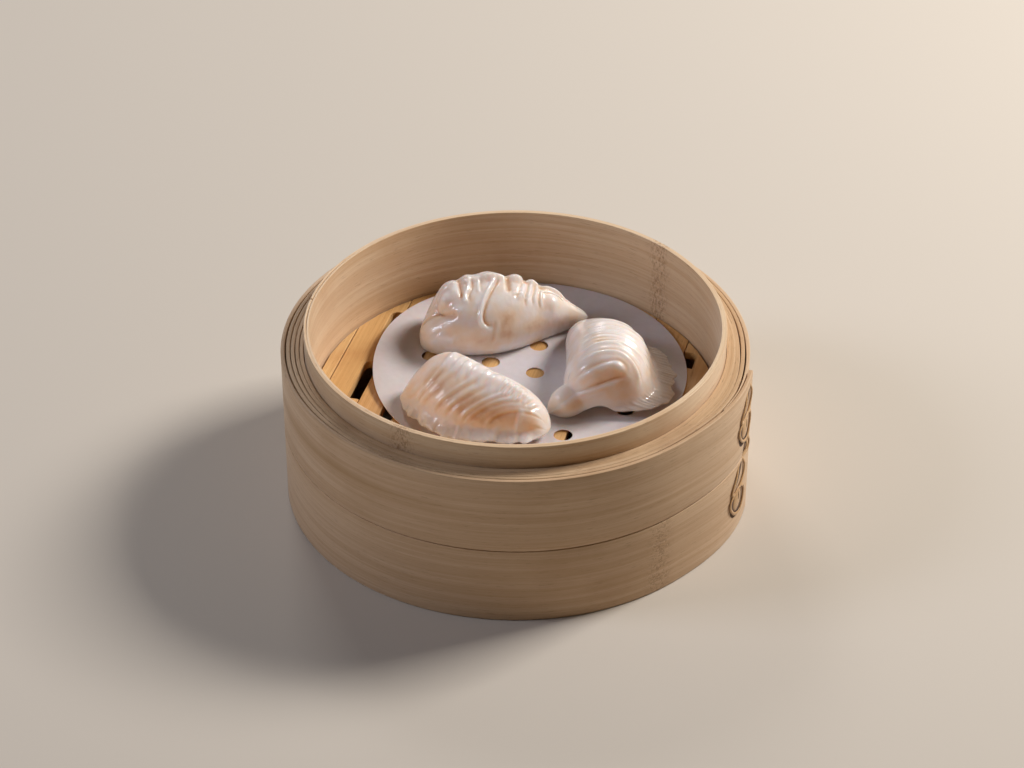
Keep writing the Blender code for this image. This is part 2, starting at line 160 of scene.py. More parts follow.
@dataclass(frozen=True)
class Bamboo:
    """Split and planed bamboo, dry and unvarnished.

    It gives the eye fine straight fibres that run the length of the strip, slow pale and
    brown bands, short dark vessel marks, and a speckled patch where a joint of the cane was.
    """

    name: str
    pale: str
    brown: str
    fleck: str
    grain: Grain = Grain.AROUND
    roughness: float = 0.52
    fibre_mm: float = 0.45          # spacing of the fibres, drawn a little coarse so that it shows
    fibre_long_mm: float = 26.0
    fibre_share: float = 0.30
    band_mm: float = 1.7            # width of the slow bands
    band_long_mm: float = 150.0
    band_share: float = 0.6
    relief_mm: float = 0.10
    fleck_share: float = 0.35
    stain: str = "8A5A32"
    stain_share: float = 0.35
    marks: tuple[float, ...] = ()   # directions of the cane's joints, degrees from +X
    mark_half_mm: float = 4.5
    mark_share: float = 0.6
    mark_grain_mm: tuple[float, float] = (1.6, 0.8)     # length and height of a speckle
    stripe: tuple[float, float] | None = None           # height and half width of a brown stripe
    sheen: float = 0.15             # pale veil of dry fibre ends at a flat angle
    vessel_mm: float = 0.28         # height of a dark vessel mark
    vessel_long_mm: float = 4.5
    sway_mm: float = 60.0           # distance over which the fibres wander
    sway_by_mm: float = 2.0
    cloud_mm: float = 30.0          # size of a stained patch
    ragged_mm: float = 7.0          # size of the teeth in a joint patch's edge
    stripe_ends_mm: tuple[float, float] = (-62.0, -10.0)    # places over which the stripe fades out

    def coordinates(self, tree: bpy.types.NodeTree) -> tuple[Socket, Socket, Socket]:
        """Two slow coordinates and the one across the fibres.

        Args:
            tree: The material's tree.

        Returns:
            Two sockets along the strip and the socket across its fibres, in metres.
        """
        add = partial(add_node, tree)
        place = add("TexCoord", out="Object")
        if self.grain is not Grain.AROUND:
            turn = -SLAT_TURN + (0.0 if self.grain is Grain.SLATS else 90.0)
            place = add("Mapping", place, named={"Rotation": (0, 0, radians(turn))}, vector_type="POINT")
            parts = add("SeparateXYZ", place).node.outputs
            across = add("Math", parts[1], parts[2], operation="ADD")
            slow = add("Math", parts[1], 0.15, operation="MULTIPLY")
            return parts[0], slow, across
        parts = add("SeparateXYZ", place).node.outputs
        flat = add("CombineXYZ", parts[0], parts[1])
        radius = add("VectorMath", flat, operation="LENGTH", out="Value")
        return parts[0], parts[1], add("Math", parts[2], radius, operation="ADD")

    def streaks(self, tree: bpy.types.NodeTree, place: tuple[Socket, Socket, Socket],
                long_mm: float, wide_mm: float, detail: float) -> Socket:
        """Noise drawn out along the fibres.

        Args:
            tree: The material's tree.
            place: The sockets from coordinates().
            long_mm: Length of a streak.
            wide_mm: Width of a streak.
            detail: Detail of the noise.

        Returns:
            The noise's value, about 0.5 on average.
        """
        slow, fast = 1.0 / (long_mm * MM), 1.0 / (wide_mm * MM)
        scaled = [add_node(tree, "Math", socket, scale, operation="MULTIPLY")
                  for socket, scale in zip(place, (slow, slow, fast))]
        vector = add_node(tree, "CombineXYZ", *scaled)
        return add_node(tree, "TexNoise", vector, named={"Scale": 1.0, "Detail": detail, "Roughness": 0.55})

    def joint_mask(self, tree: bpy.types.NodeTree) -> Socket | float:
        """One on the patches where the cane's joints were, zero elsewhere."""
        add = partial(add_node, tree)
        place = add("TexCoord", out="Object")
        ragged = add("TexNoise", place, named={"Scale": 1 / (self.ragged_mm * MM), "Detail": 2.0})
        total: Socket | float = 0.0
        for mark in self.marks:
            side = (-sin(radians(mark)), cos(radians(mark)), 0.0)
            ahead = (cos(radians(mark)), sin(radians(mark)), 0.0)
            across = add("VectorMath", place, side, operation="DOT_PRODUCT", out="Value")
            forward = add("VectorMath", place, ahead, operation="DOT_PRODUCT", out="Value")
            off = add("Math", across, operation="ABSOLUTE")
            off = add("Math", off, add("Math", ragged, 4 * MM, operation="MULTIPLY"), operation="ADD")
            edge = self.mark_half_mm
            near = add("MapRange", off, (edge - 2.5) * MM, (edge + 4.5) * MM, 1.0, 0.0, **EASED)
            this_side = add("Math", forward, 0.0, operation="GREATER_THAN")
            here = add("Math", near, this_side, operation="MULTIPLY")
            total = add("Math", here, total, operation="ADD")
        return total

    def make(self) -> bpy.types.Material:
        """Build the material.

        Returns:
            The bamboo material.
        """
        material, tree, shader = new_material(self.name)
        add = partial(add_node, tree)
        flat = self.coordinates(tree)
        place = add("TexCoord", out="Object")
        sway = add("TexNoise", place, named={"Scale": 1 / (self.sway_mm * MM), "Detail": 1.0})
        sway = add("Math", sway, 0.5, operation="SUBTRACT")
        shift = add("Math", sway, self.sway_by_mm * MM, operation="MULTIPLY")
        flat = (flat[0], flat[1], add("Math", flat[2], shift, operation="ADD"))
        fibres = self.streaks(tree, flat, self.fibre_long_mm, self.fibre_mm, 3.0)
        bands = self.streaks(tree, flat, self.band_long_mm, self.band_mm, 3.0)
        vessels = self.streaks(tree, flat, self.vessel_long_mm, self.vessel_mm, 1.0)
        slow_tone = add("MapRange", bands, 0.30, 0.72, 0.0, self.band_share, **EASED)
        colour = add("Mix", slow_tone, named={6: linear(self.pale), 7: linear(self.brown)}, **BLEND)
        fibre_tone = add("MapRange", fibres, 0.34, 0.66, 0.0, self.fibre_share, **EASED)
        colour = add("Mix", fibre_tone, named={6: colour, 7: linear(self.brown)}, **BLEND)
        fleck = add("MapRange", vessels, 0.62, 0.76, 0.0, self.fleck_share, **EASED)
        colour = add("Mix", fleck, named={6: colour, 7: linear(self.fleck)}, **BLEND)
        cloud = add("TexNoise", place, named={"Scale": 1 / (self.cloud_mm * MM), "Detail": 4.0})
        stained = add("MapRange", cloud, 0.50, 0.78, 0.0, self.stain_share, **EASED)
        colour = add("Mix", stained, named={6: colour, 7: linear(self.stain)}, **BLEND)
        pits = add("Math", fleck, 0.6, operation="MULTIPLY")
        height = add("Math", fibres, pits, operation="SUBTRACT")
        if self.marks:
            wide, tall = self.mark_grain_mm
            scales = (1 / (wide * MM), 1 / (wide * MM), 1 / (tall * MM))
            squashed = add("Mapping", place, named={"Scale": scales})
            speckle = add("TexNoise", squashed, named={"Scale": 1.0, "Detail": 2.0, "Distortion": 0.8})
            dots = add("MapRange", speckle, 0.44, 0.64, 0.0, 1.0, **EASED)
            dots = add("Math", dots, self.joint_mask(tree), operation="MULTIPLY")
            share = add("Math", dots, self.mark_share, operation="MULTIPLY")
            colour = add("Mix", share, named={6: colour, 7: linear(self.fleck)}, **BLEND)
            pits = add("Math", dots, 1.2, operation="MULTIPLY")
            height = add("Math", height, pits, operation="SUBTRACT")
        if self.stripe:
            parts = add("SeparateXYZ", place).node.outputs
            off = add("Math", parts[2], self.stripe[0] * MM, operation="SUBTRACT")
            off = add("Math", off, operation="ABSOLUTE")
            line = add("MapRange", off, 0.0, self.stripe[1] * MM, 0.5, 0.0, **EASED)
            low, high = self.stripe_ends_mm
            left = add("MapRange", parts[0], low * MM, high * MM, 1.0, 0.0, **EASED)
            share = add("Math", line, left, operation="MULTIPLY")
            colour = add("Mix", share, named={6: colour, 7: linear(self.stain)}, **BLEND)
        rough = add("MapRange", fibres, 0.3, 0.7, self.roughness - 0.06, self.roughness + 0.08, **EASED)
        bump = add("Bump", named={"Height": height, "Strength": 0.6, "Distance": self.relief_mm * MM})
        tree.links.new(colour, shader.inputs["Base Color"])
        tree.links.new(rough, shader.inputs["Roughness"])
        tree.links.new(bump, shader.inputs["Normal"])
        set_sockets(shader, {"Sheen Weight": self.sheen, "Sheen Roughness": 0.4})
        return material


@dataclass(frozen=True)
class SteamerPaper:
    """Thin baking paper softened by steam.

    It gives the eye a smooth pale sheet with a faint mottle, damp warm patches and a soft
    glow where light passes through it.
    """

    name: str = "steamer_paper"
    dry: str = "D3C9CC"
    damp: str = "C9A68C"
    pulp: str = "9F8B84"            # shade of the thicker clumps of fibre
    pulp_mm: float = 2.2
    patch_mm: float = 24.0          # size of a damp patch

    def make(self) -> bpy.types.Material:
        """Build the material.

        Returns:
            The paper material.
        """
        material, tree, shader = new_material(self.name)
        add = partial(add_node, tree)
        place = add("TexCoord", out="Object")
        mottle = add("TexNoise", place, named={"Scale": 1 / (self.pulp_mm * MM), "Detail": 4.0})
        patches = add("TexNoise", place, named={"Scale": 1 / (self.patch_mm * MM), "Detail": 2.0})
        damp = add("MapRange", patches, 0.52, 0.75, 0.0, 0.22, **EASED)
        colour = add("Mix", damp, named={6: linear(self.dry), 7: linear(self.damp)}, **BLEND)
        soft = add("MapRange", mottle, 0.35, 0.70, 0.0, 0.07, **EASED)
        colour = add("Mix", soft, named={6: colour, 7: linear(self.pulp)}, **BLEND)
        bump = add("Bump", named={"Height": mottle, "Strength": 0.35, "Distance": 0.08 * MM})
        tree.links.new(colour, shader.inputs["Base Color"])
        tree.links.new(bump, shader.inputs["Normal"])
        set_sockets(shader, {"Roughness": 0.62, "Subsurface Weight": 0.25, "Subsurface Scale": 1.5 * MM})
        return material


@dataclass(frozen=True)
class CrystalSkin:
    """Steamed wheat-starch dough over a shrimp filling.

    It gives the eye a wet, milky, half-clear skin: white on doubled folds, tan and pink where the
    filling shows through, painted shade as tan in grooves and hollows, and glassy at the thin pressed
    edge, whose brownish tone is painted shade seen through it.
    """

    name: str = "crystal_skin"
    milk: str = "EBE3E1"
    cream: str = "EAD4BF"
    filling: str = "D3A67C"
    # painted shade: the brownish tone of the shaded paper seen through the clear pressed edge
    glass: str = "BD9A80"
    cloud_mm: float = 5.0           # size of the lumps of filling behind the skin
    grain_mm: float = 1.1           # pores of the skin, drawn coarser than life so that they show
    crinkle_mm: float = 1.8         # finger marks in the pressed edge

    def make(self) -> bpy.types.Material:
        """Build the material.

        Returns:
            The dumpling skin material.
        """
        material, tree, shader = new_material(self.name)
        add = partial(add_node, tree)
        place = add("TexCoord", out="Object")
        tint = add("Attribute", attribute_name="filling", out="Fac")
        thin = add("Attribute", attribute_name="thin_edge", out="Fac")
        pressed = add("Attribute", attribute_name="pressed", out="Fac")
        cloud = add("TexNoise", place, named={"Scale": 1 / (self.cloud_mm * MM), "Detail": 3.0})
        fine = add("TexNoise", place, named={"Scale": 1 / (self.grain_mm * MM), "Detail": 3.0})
        uneven = add("MapRange", cloud, 0.3, 0.7, -0.14, 0.14, **EASED)
        # The tint attribute holds the filling showing through and painted shade in grooves and hollows.
        seen = add("Math", tint, uneven, operation="ADD")
        cloudy = add("MapRange", seen, 0.0, 0.55, 0.0, 1.0, **EASED)
        colour = add("Mix", cloudy, named={6: linear(self.milk), 7: linear(self.cream)}, **BLEND)
        clear = add("MapRange", seen, 0.45, 1.0, 0.0, 1.0, **EASED)
        colour = add("Mix", clear, named={6: colour, 7: linear(self.filling)}, **BLEND)
        # The pressed edge takes the brownish see-through colour, painted shade of the paper behind the clear
        # dough.
        edge_shade = add("Math", thin, 0.75, operation="MULTIPLY")
        colour = add("Mix", edge_shade, named={6: colour, 7: linear(self.glass)}, **BLEND)
        crinkle = add("TexNoise", place, named={"Scale": 1 / (self.crinkle_mm * MM), "Detail": 2.0})
        raised = add("Math", pressed, 7.0, operation="MULTIPLY")
        height = add("Math", crinkle, raised, fine, operation="MULTIPLY_ADD")
        rough = add("MapRange", fine, 0.3, 0.7, 0.30, 0.46, **EASED)
        bump = add("Bump", named={"Height": height, "Strength": 0.5, "Distance": 0.06 * MM})
        tree.links.new(colour, shader.inputs["Base Color"])
        tree.links.new(rough, shader.inputs["Roughness"])
        tree.links.new(bump, shader.inputs["Normal"])
        tree.links.new(bump, shader.inputs["Coat Normal"])
        shader.inputs["Subsurface Radius"].default_value = (1.0, 0.72, 0.55)
        set_sockets(shader, {"Subsurface Weight": 0.8, "Subsurface Scale": 8.0 * MM, "IOR": 1.42,
                             "Coat Weight": 0.75, "Coat Roughness": 0.07, "Coat IOR": 1.45})
        return material


@dataclass(frozen=True)
class StudioFloor:
    """Matt pale paper backdrop, plain and even, so that nothing competes with the basket."""

    name: str = "studio_floor"
    colour: str = "D0C7BC"

    def make(self) -> bpy.types.Material:
        """Build the material."""
        material, _tree, shader = new_material(self.name)
        shader.inputs["Base Color"].default_value = linear(self.colour)
        set_sockets(shader, {"Roughness": 0.9, "Specular IOR Level": 0.2})
        return material


BAND_LOW = Bamboo("bamboo_band_low", pale="DCBD9B", brown="C19A72", fleck="8C6440", marks=(-53.0,),
                  stain="AD8459", stain_share=0.25, mark_share=0.38)
BAND_HIGH = replace(BAND_LOW, name="bamboo_band_high", marks=(), stripe=(44.5, 3.4), stain="AB8150")
LEDGE = Bamboo("bamboo_core", pale="DDBE99", brown="B99269", fleck="7A5636", fibre_mm=0.34, band_mm=1.2,
               roughness=0.58, fleck_share=0.5)
HOOP = Bamboo("bamboo_inner_hoop", pale="E7CBA8", brown="CFA679", fleck="96602F", marks=(-121.3, 43.0),
              roughness=0.42, stain="B9814A", stain_share=0.3, fibre_mm=0.6, mark_share=0.55,
              mark_grain_mm=(0.8, 1.5), sheen=0.55)
SLAT = Bamboo("bamboo_slat", pale="E3B87C", brown="C99559", fleck="8A5A2A", grain=Grain.SLATS,
              stain="B5702F", stain_share=0.45)
CROSS_BAR = replace(SLAT, name="bamboo_cross_bar", grain=Grain.ACROSS)
CANE = Bamboo("split_cane", pale="D8B182", brown="B08350", fleck="7A5028", fibre_mm=0.3, roughness=0.42)
# Dark bamboo for the ovals of painted shade in the slits, gaps and creases of the lacing.
LACE_SHADE = Bamboo("lace_painted_shade", pale="5E3D22", brown="3E2614", fleck="2A180C", roughness=0.8)


# --- pieces -----------------------------------------------------------------------------------
def place_piece(name: str, shape: Shape, material: bpy.types.Material, slot: str,
                stands_for: Iterable[str] = (), smooth: float = 42.0) -> bpy.types.Object:
    """Turn a shape in millimetres into a finished piece of the basket.

    Args:
        name: The piece's name.
        shape: The shape, which is used up.
        material: Its finish.
        slot: The record's material slot; not used.
        stands_for: Frame nodes it replaces.
        smooth: Edges flatter than this angle in degrees are shaded smooth.

    Returns:
        The new object.
    """
    bmesh.ops.scale(shape, vec=(MM, MM, MM), verts=shape.verts)
    mesh = bpy.data.meshes.new(name)
    shape.to_mesh(mesh)
    shape.free()
    mesh.materials.append(material)
    mesh.shade_smooth()
    mesh.set_sharp_from_angle(angle=radians(smooth))
    piece = bpy.data.objects.new(name, mesh)
    bpy.context.scene.collection.objects.link(piece)
    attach(piece, BODY)
    if stands_for:
        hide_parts(*stands_for)
    LOG.info("%s: %d faces", name, len(mesh.polygons))
    return piece


def wrapped_grid(columns: int, rows: int, place: Callable[[float, float], tuple[float, float, float]],
                 closed_along: bool) -> Shape:
    """A tube made from a grid whose rows close on themselves.

    Args:
        columns: Steps along the tube.
        rows: Steps around its section.
        place: Gives a point for the shares along and around, each from 0 to 1.
        closed_along: Whether the tube also joins itself end to end; if not, its ends are filled.

    Returns:
        The closed shape with its faces outwards.
    """
    shape = bmesh.new()
    bmesh.ops.create_grid(shape, x_segments=columns, y_segments=rows, size=0.5)
    for vert in shape.verts:
        vert.co = place(vert.co.x + 0.5, vert.co.y + 0.5)
    bmesh.ops.remove_doubles(shape, verts=shape.verts, dist=0.0005)
    if not closed_along:
        open_edges = [edge for edge in shape.edges if edge.is_boundary]
        bmesh.ops.holes_fill(shape, edges=open_edges, sides=0)
    bmesh.ops.recalc_face_normals(shape, faces=shape.faces)
    return shape


@dataclass
class Strip:
    """A flat strip of bamboo bent round the axis, with eased edges.

    Attributes:
        name: The piece's name.
        inner: Inner radius for an angle in degrees and the travel along the strip.
        outer: Outer radius for the same.
        foot: Height of the lower edge.
        top: Height of the upper edge.
        start: Angle at which it starts.
        sweep: Degrees it covers; a full turn joins itself.
        wave: How far its edges wander up and down.
        eased: Rounding of its edges.
        steps: Steps in a full turn.
    """

    name: str
    inner: Callable[[float, float], float]
    outer: Callable[[float, float], float]
    foot: float
    top: float
    start: float = 0.0
    sweep: float = TURN
    wave: float = 0.10
    eased: float = 0.22
    steps: int = 300

    def section(self) -> list[tuple[float, float, float, float]]:
        """Points round the section.

        Returns:
            For each point its side (0 in, 1 out), its level (0 foot, 1 top), and how far
            it is set in from the side and from the level.
        """
        corners = [self.eased * (1.0 - cos(step * pi / 6)) for step in range(4)]
        insets = list(zip(corners, corners[::-1]))
        points = []
        for side, level in ((0, 0), (0, 1), (1, 1), (1, 0)):
            rounding = [(side, level, across, high) for across, high in insets]
            if (side, level) in ((0, 0), (1, 1)):
                rounding = rounding[::-1]
            points += rounding
            if side == 0 and level == 0:
                points += [(0, share / 5, 0.0, 0.0) for share in range(1, 5)]
            if side == 1 and level == 1:
                points += [(1, 1 - share / 5, 0.0, 0.0) for share in range(1, 5)]
        return points

    def shape(self) -> Shape:
        """Bend the strip.

        Returns:
            The closed strip.
        """
        ring = self.section()
        ring.append(ring[0])
        rows = len(ring) - 1

        def place(along: float, around: float) -> tuple[float, float, float]:
            """Point of the strip for the shares along and around it."""
            travel = along * self.sweep
            angle = self.start + travel
            side, level, in_side, in_level = ring[round(around * rows)]
            turn = radians(angle)
            x, y = cos(turn), sin(turn)
            ripple = wander(x, y, self.foot + 7.0 * level, 0.6) + 0.4 * wander(x, y, self.top, 0.15)
            ripple *= self.wave
            low = max(self.foot + ripple, 0.0)
            high = self.top - abs(ripple)
            inset = in_level if level == 0 else -in_level
            z = low + (high - low) * level + inset
            near, far = self.inner(angle, travel), self.outer(angle, travel)
            radius = near + in_side if side == 0 else far - in_side
            return radius * x, radius * y, z

        columns = round(self.steps * self.sweep / TURN)
        return wrapped_grid(columns, rows, place, closed_along=self.sweep == TURN)


@dataclass(frozen=True)
class Opening:
    """A place where two layers of the wall part: its width, its direction and how far it spreads."""

    wide: float
    middle: float
    spread: float

    def at(self, angle: float) -> float:
        """Width of the opening at an angle in degrees."""
        return self.wide * bump_at(angle, self.middle, self.spread)


@dataclass
class BasketWall:
    """The hoops of the basket wall: a doubled inner hoop, four core layers and two coiled bands."""

    rim_top: float = field(default_factory=lambda: box_mm("inner_hoop")[1].z)
    inner_foot: float = field(default_factory=lambda: box_mm("inner_hoop")[0].z)
    inner_r: float = field(default_factory=lambda: box_mm("inner_hoop")[1].x)
    inner_t: float = 1.9
    wall_top: float = field(default_factory=lambda: box_mm("core_inner")[1].z)
    seam_low: float = field(default_factory=lambda: box_mm("outer_band_lower")[1].z)
    seam_high: float = field(default_factory=lambda: box_mm("outer_band_upper")[0].z)
    band_r: float = 79.46           # mean outer radius of the bands
    band_t: float = 1.4
    band_start: float = -30.0
    band_sweep: float = 378.0
    oval: float = 0.4
    lap_rise: float = 1.8
    lap_ramp: tuple[float, float] = (343.0, 372.0)
    tuck: float = 0.30
    feather: float = 30.0           # degrees over which the tucked end grows to full thickness
    outer_layer_t: float = 1.35
    core_layers: int = 3
    lining_end: float = 169.0       # cut end of the inner hoop's outer layer
    shell_openings: tuple[Opening, ...] = (Opening(0.36, -12.0, 18.0), Opening(0.34, -36.0, 16.0),
                                           Opening(0.30, 185.0, 45.0))
    core_openings: tuple[Opening, ...] = (Opening(0.42, 3.0, 12.0), Opening(0.22, 185.0, 50.0))
    hoop_opening: Opening = Opening(0.26, -140.0, 62.0)
    rim_openings: tuple[Opening, ...] = (Opening(0.78, 153.0, 12.0), Opening(0.50, 178.0, 14.0))

    def band_outer(self, angle: float, travel: float) -> float:
        """Outer radius of a coiled band."""
        dip = self.tuck * (1.0 - float(ease(travel, 0.0, 10.0)))
        lap = self.lap_rise * float(ease(travel, *self.lap_ramp))
        return self.band_r + self.oval * cos(radians(2.0 * angle)) - dip + lap

    def band_inner(self, angle: float, travel: float) -> float:
        """Inner radius of a coiled band, whose tucked end is shaved thin."""
        full = 0.06 + 0.94 * float(ease(travel, 0.0, self.feather))
        return self.band_outer(angle, travel) - self.band_t * full

    def core_edge(self, angle: float, _travel: float) -> float:
        """Outer radius of the outermost core layer, just inside the innermost turn of the bands."""
        travel = (angle - self.band_start) % TURN
        opened = sum(opening.at(angle) for opening in self.shell_openings)
        return self.band_inner(angle, travel) - 0.12 - opened

    def core_bounds(self, angle: float) -> tuple[float, float]:
        """Inner and outer radius of the stack of inner core layers."""
        gap = 0.05 + sum(opening.at(angle) for opening in self.core_openings)
        ring_gap = 0.12 + self.hoop_opening.at(angle)
        return self.inner_r + ring_gap, self.core_edge(angle, 0.0) - self.outer_layer_t - gap

    def core_layer(self, number: int, outer: bool) -> Callable[[float, float], float]:
        """Radius of one face of a core layer.

        Args:
            number: The layer, counted from the inside.
            outer: Whether its outer face is meant.

        Returns:
            A function that gives the radius for an angle and a travel.
        """
        def radius(angle: float, _travel: float) -> float:
            """Radius of this face at the angle."""
            low, high = self.core_bounds(angle)
            share = (number + (1.0 if outer else 0.0)) / self.core_layers
            opening = -0.20 + 0.32 * bump_at(angle, 180.0 + 9.0 * number, 52.0)
            drift = 0.16 * wander(cos(radians(angle)), sin(radians(angle)), 3.0 * number + outer, 0.5)
            inside = 0 < number + outer < self.core_layers
            edge = low + (high - low) * share
            if inside:
                edge += drift * (0.4 if outer else 1.0)
                edge += -opening if outer else opening
            return edge
        return radius

    def rim_gap(self, angle: float) -> float:
        """Gap between the two layers of the inner hoop."""
        return -0.35 + sum(opening.at(angle) for opening in self.rim_openings)

    def strips(self) -> list[tuple[Strip, Bamboo, str, tuple[str, ...]]]:
        """All strips of the wall.

        Returns:
            For each strip its finish, its slot and the frame nodes it stands for.
        """
        lining_out = self.inner_r - 0.5 * self.inner_t
        lining = Strip("inner_hoop_lining", lambda a, t: self.inner_r - self.inner_t,
                       lambda a, t: lining_out - 0.4 * self.rim_gap(a), self.inner_foot, self.rim_top)
        cover = Strip("inner_hoop_cover", lambda a, t: lining_out + 0.6 * self.rim_gap(a),
                      lambda a, t: self.inner_r, self.inner_foot, self.rim_top - 0.05,
                      start=self.lining_end, sweep=TURN - 0.5)
        made = [(lining, HOOP, "bamboo_inner", ("inner_hoop",)), (cover, HOOP, "bamboo_inner", ())]
        for number in range(self.core_layers):
            layer = Strip(f"core_layer_{number + 1}", self.core_layer(number, False),
                          self.core_layer(number, True), 0.0, self.wall_top, eased=0.18)
            stands_for = ("core_inner",) if number == 0 else ()
            made.append((layer, LEDGE, "bamboo_core", stands_for))
        shell = Strip("core_layer_outer", lambda a, t: self.core_edge(a, t) - self.outer_layer_t,
                      self.core_edge, 0.8, self.wall_top, eased=0.18)
        made.append((shell, LEDGE, "bamboo_core", ("core_outer",)))
        for name, foot, top, finish in (("outer_band_lower", 0.0, self.seam_low, BAND_LOW),
                                        ("outer_band_upper", self.seam_high, self.wall_top, BAND_HIGH)):
            band = Strip(f"{name}_coil", self.band_inner, self.band_outer, foot, top,
                         start=self.band_start, sweep=self.band_sweep, eased=0.26)
            made.append((band, finish, "bamboo_band", (name,)))
        return made

    def build(self) -> None:
        """Bend every strip of the wall and dress it."""
        finishes = {finish.name: finish.make() for finish in (BAND_LOW, BAND_HIGH, LEDGE, HOOP)}
        for strip, finish, slot, nodes in self.strips():
            place_piece(strip.name, strip.shape(), finishes[finish.name], slot, nodes)


@dataclass
class CaneLoop:
    """One loop of split cane on the lap: points of its line as arc length and height."""

    name: str
    points: tuple[tuple[float, float], ...]
    stands_for: tuple[str, ...]
    width: float = 1.3
    thick: float = 0.62
    sunk: tuple[int, ...] = ()      # points at which the cane dips into the band


@dataclass
class Lens:
    """A flat oval on the lap, at an arc length and a height: a dark oval of painted shade over a slit, a gap
    under a knot or a crease, or a bulge of cane.
    """

    name: str
    middle: tuple[float, float]
    long: float
    wide: float
    tilt: float                     # lean of its long axis from upright towards the right, degrees
    rise: float = 0.10
    cane: bool = False


@dataclass
class Lacing:
    """Split cane laced through the lap of the bands, loop under loop."""

    wall: BasketWall
    steps: int = 96
    rows: int = 10
    right_limit: float = -20.4      # no loop reaches further round than this arc length
    stands_off: float = 0.18        # how far the cane's line stands off the band
    dips_in: float = -0.75          # the same where the cane passes into the band
    loops: tuple[CaneLoop, ...] = (
        CaneLoop("lace_leaf_high", ((-22.6, 55.2), (-20.4, 52.0), (-21.6, 47.6), (-27.0, 44.8), (-31.6, 45.6),
                                    (-28.0, 50.4)), ("cane_loop_1",), width=1.1, sunk=(0,)),
        CaneLoop("lace_knot_high", ((-26.4, 45.6), (-21.0, 43.4), (-20.8, 38.6), (-24.6, 35.0), (-30.2, 37.0),
                                    (-33.0, 42.6)), ("cane_loop_2",), width=1.15),
        CaneLoop("lace_crescent", ((-24.0, 34.6), (-20.8, 32.0), (-22.6, 28.4), (-28.6, 28.6), (-25.4, 30.4),
                                   (-24.0, 32.4)), ("cane_loop_3",), sunk=(0, 3)),
        CaneLoop("lace_leaf_low", ((-29.0, 29.0), (-26.0, 25.4), (-26.8, 20.6), (-32.6, 17.6), (-36.6, 18.6),
                                   (-33.4, 23.8)), ("cane_loop_4",), width=1.1, sunk=(0,)),
        CaneLoop("lace_knot_low", ((-31.6, 18.2), (-26.2, 15.8), (-25.8, 11.0), (-29.6, 7.4), (-35.0, 9.6),
                                   (-37.6, 15.2)), ("cane_loop_5",), width=1.15),
    )
    # Ovals without cane are painted shade: dark slits where the cane enters the band, dark surrounds under
    # the knot pads and dark crease lines on them.
    lenses: tuple[Lens, ...] = (
        Lens("lace_shade_high", (-25.4, 49.8), 4.8, 1.5, 38.0),
        Lens("lace_shade_crescent", (-26.2, 31.8), 2.6, 0.7, 30.0),
        Lens("lace_shade_low", (-31.0, 23.4), 4.8, 1.5, 34.0),
        Lens("lace_shade_knot_high", (-27.4, 39.4), 5.6, 5.0, 20.0),
        Lens("lace_shade_knot_low", (-32.0, 12.2), 5.6, 5.0, 20.0),
        Lens("lace_pad_high", (-26.6, 40.4), 4.2, 3.3, 14.0, 0.55, cane=True),
        Lens("lace_pad_low", (-31.4, 13.2), 4.2, 3.3, 14.0, 0.55, cane=True),
        Lens("lace_crease_shade_high", (-26.4, 41.6), 2.4, 0.5, 10.0, 0.64),
        Lens("lace_crease_shade_low", (-31.2, 14.4), 2.4, 0.5, 10.0, 0.64),
    )

    def lens_shape(self, lens: Lens) -> Shape:
        """Lay a thin lens on the band so that it follows the band's curve.

        Args:
            lens: The lens.

        Returns:
            The lens.
        """
        shape = bmesh.new()
        bmesh.ops.create_uvsphere(shape, u_segments=28, v_segments=14, radius=1.0)
        lean = radians(lens.tilt)
        for vert in shape.verts:
            x, y, z = vert.co
            across, up = x * lens.wide, y * lens.long
            place = min(lens.middle[0] + across * cos(lean) + up * sin(lean), self.right_limit)
            angle = degrees(place / (self.wall.band_r + self.wall.lap_rise))
            radius = self.wall.band_outer(angle, TURN + angle - self.wall.band_start) + lens.rise * z
            turn = radians(angle)
            height = lens.middle[1] - across * sin(lean) + up * cos(lean)
            vert.co = (radius * cos(turn), radius * sin(turn), height)
        return shape

    def line(self, loop: CaneLoop) -> np.ndarray:
        """Smooth closed line of a loop.

        Args:
            loop: The loop.

        Returns:
            Rows of arc length, height and how far the cane stands off the band.
        """
        points = np.array([(*point, self.dips_in if number in loop.sunk else self.stands_off)
                           for number, point in enumerate(loop.points)])
        points[:, 0] = np.minimum(points[:, 0], self.right_limit)
        count = len(points)
        rows = []
        for step in range(self.steps):
            place = step * count / self.steps
            base, t = int(place), place - int(place)
            p = [points[(base + offset) % count] for offset in (-1, 0, 1, 2)]
            bend = 2 * p[0] - 5 * p[1] + 4 * p[2] - p[3]
            twist = 3 * p[1] - 3 * p[2] + p[3] - p[0]
            rows.append(0.5 * (2 * p[1] + (p[2] - p[0]) * t + bend * t ** 2 + twist * t ** 3))
        return np.array(rows)

    def shape(self, loop: CaneLoop) -> Shape:
        """Sweep a flat oval section along a loop.

        Args:
            loop: The loop.

        Returns:
            The closed loop of cane.
        """
        rows = self.line(loop)
        ahead = np.roll(rows, -1, axis=0) - np.roll(rows, 1, axis=0)
        sides = np.stack([-ahead[:, 1], ahead[:, 0]], axis=1)
        sides /= np.linalg.norm(sides, axis=1, keepdims=True)

